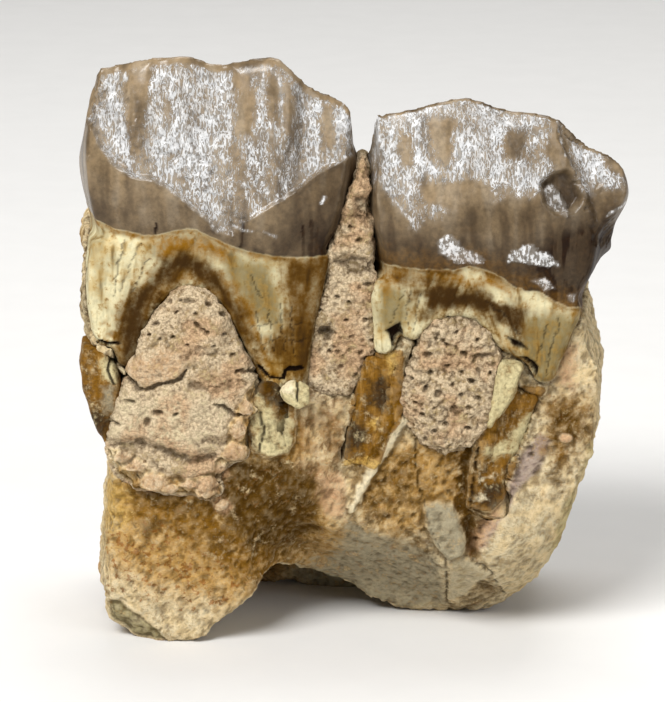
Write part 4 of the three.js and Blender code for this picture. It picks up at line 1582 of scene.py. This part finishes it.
def carve_tip(skin, node):
    """Carves a broken root tip and stains its pale patches, dark flank and bright rim."""
    skin.raise_by(0.12 * rough(skin.points, np.array([0.7, 0.7, 1.4]) * MM, 101, 3))
    own = 1
    if node in TIP_OUTLINES:
        own = np.maximum(skin.patch(TIP_OUTLINES[node], 2.5, 2), 1 - skin.front)
        stain_bone(skin)
        skin.raise_by(-0.3 * (1 - own))
    stain_as(skin, "tip", own)
    mark_tip(skin, node)
    skin.clean("seam", 0.6)


# Operators, one for each group of like pieces

class FossilOperator:
    """What the operators share."""

    bl_options = {"REGISTER", "UNDO"}

    def shape(self, context):
        return context.scene.fossil_jaw_shape

    def tones(self, context):
        return context.scene.fossil_jaw_colours


class FOSSIL_OT_molars(FossilOperator, bpy.types.Operator):
    """Carve and stain the two molars"""

    bl_idname = "fossil.molars"
    bl_label = "Molars"

    def execute(self, context):
        shape = self.shape(context)
        material = molar_material(self.tones(context))
        for node, carve in [("front_molar", carve_front_molar), ("rear_molar", carve_rear_molar)]:
            skin = Skin(fine_form(node, shape.molar_grid, shape.seam), node, ("yellow",))
            carve(skin)
            skin.finish()
            add_piece(node, skin.mesh, material)
        return {"FINISHED"}


class FOSSIL_OT_root_tips(FossilOperator, bpy.types.Operator):
    """Carve and stain the broken root tips, the splinter and the chip"""

    bl_idname = "fossil.root_tips"
    bl_label = "Root tips"

    def execute(self, context):
        shape = self.shape(context)
        material = ground_material("amber_root_tip", self.tones(context), TIP_GLOSS)
        for node in TIP_MARKS:
            skin = Skin(fine_form(node, shape.tip_grid, shape.seam, 2), node, GROUND_STAINS)
            carve_tip(skin, node)
            skin.finish()
            loose = node in ("rear_molar_root_splinter", "front_molar_root_chip")
            add_piece(node, skin.mesh, material)
        return {"FINISHED"}


class FOSSIL_OT_silt(FossilOperator, bpy.types.Operator):
    """Carve and stain the three lumps of hardened silt"""

    bl_idname = "fossil.silt"
    bl_label = "Silt"

    def execute(self, context):
        shape = self.shape(context)
        material = ground_material("pitted_silt", self.tones(context), STONE_GLOSS)
        for node, carve in [
            ("rock_in_front_molar", carve_front_silt),
            ("rock_between_molars", carve_middle_silt),
            ("rock_in_rear_molar", carve_rear_silt),
        ]:
            lumps = FRONT_LUMPS if node == "rock_in_front_molar" else ()
            mesh = fine_form(node, shape.silt_grid, shape.seam, 2, lumps)
            skin = Skin(mesh, node, GROUND_STAINS)
            carve(skin)
            skin.finish()
            add_piece(node, skin.mesh, material)
        return {"FINISHED"}


class FOSSIL_OT_bone(FossilOperator, bpy.types.Operator):
    """Carve and stain the jaw bone"""

    bl_idname = "fossil.bone"
    bl_label = "Jaw bone"

    def execute(self, context):
        shape = self.shape(context)
        skin = Skin(fine_form("jaw_bone", shape.bone_grid, shape.seam), "jaw_bone", GROUND_STAINS)
        carve_bone(skin)
        skin.finish()
        material = ground_material("stained_bone", self.tones(context), STONE_GLOSS)
        add_piece("jaw_bone", skin.mesh, material)
        return {"FINISHED"}


class FOSSIL_OT_stage(FossilOperator, bpy.types.Operator):
    """Set the floor, the soft lights and the front camera"""

    bl_idname = "fossil.stage"
    bl_label = "Floor, lights and camera"

    def execute(self, context):
        tones = self.tones(context)
        self.add_floor(tones)
        self.add_camera(context)
        self.add_lights(context)
        return {"FINISHED"}

    def add_floor(self, tones):
        bm = bmesh.new()
        bmesh.ops.create_grid(bm, x_segments=1, y_segments=1, size=FLOOR_REACH)
        mesh = mesh_from(bm, "floor")
        mesh.materials.append(floor_material(tones))
        floor = new_object("floor", mesh)

    def add_camera(self, context):
        lens = bpy.data.cameras.new("front_camera")
        lens.sensor_fit = "HORIZONTAL"
        lens.angle = 2 * math.atan(PICTURE[0] / PIXELS_PER_MM * MM / 2 / CAMERA_DISTANCE)
        lens.clip_start = 10 * MM
        camera = new_object("front_camera", lens)
        camera.location = camera_place()
        camera.rotation_euler = (math.radians(90) - CAMERA_HEIGHT_ANGLE, 0, 0)
        context.scene.camera = camera

    def add_lights(self, context):
        world = bpy.data.worlds.new("soft_room")
        world.use_nodes = True
        background = world.node_tree.nodes["Background"]
        background.inputs["Color"].default_value = (1, 1, 1, 1)
        background.inputs["Strength"].default_value = ROOM_LIGHT
        context.scene.world = world
        context.scene.view_settings.view_transform = "Standard"
        for name, place, size, power in SOFT_LIGHTS:
            lamp = bpy.data.lights.new(name, "AREA")
            lamp.shape = "RECTANGLE"
            lamp.size, lamp.size_y = size
            lamp.energy = power
            light = new_object(name, lamp)
            light.location = place
            aim = Vector(LIGHT_AIM) - Vector(place)
            light.rotation_euler = aim.to_track_quat("-Z", "Y").to_euler()


class FOSSIL_PT_panel(bpy.types.Panel):
    """Lists the settings and the steps that make the fossil jaw piece"""

    bl_label = "Fossil Jaw"
    bl_idname = "FOSSIL_PT_panel"
    bl_space_type = "VIEW_3D"
    bl_region_type = "UI"
    bl_category = "Fossil Jaw"

    def draw(self, context):
        column = self.layout.column()
        for settings in (context.scene.fossil_jaw_shape, context.scene.fossil_jaw_colours):
            for name in settings.bl_rna.properties.keys():
                if name not in ("rna_type", "name"):
                    column.prop(settings, name)
        for operator in OPERATORS:
            column.operator(operator.bl_idname)


OPERATORS = [
    FOSSIL_OT_stage, FOSSIL_OT_molars, FOSSIL_OT_root_tips, FOSSIL_OT_silt, FOSSIL_OT_bone,
]
CLASSES = [FossilJawShape, FossilJawColours, *OPERATORS, FOSSIL_PT_panel]


def register():
    for each in CLASSES:
        bpy.utils.register_class(each)
    bpy.types.Scene.fossil_jaw_shape = bpy.props.PointerProperty(type=FossilJawShape)
    bpy.types.Scene.fossil_jaw_colours = bpy.props.PointerProperty(type=FossilJawColours)


def unregister():
    del bpy.types.Scene.fossil_jaw_shape
    del bpy.types.Scene.fossil_jaw_colours
    for each in reversed(CLASSES):
        bpy.utils.unregister_class(each)


def main():
    """Makes the whole piece and its stage."""
    register()
    bpy.ops.fossil.stage()
    bpy.ops.fossil.molars()
    bpy.ops.fossil.root_tips()
    bpy.ops.fossil.silt()
    bpy.ops.fossil.bone()


if __name__ == "__main__":
    main()
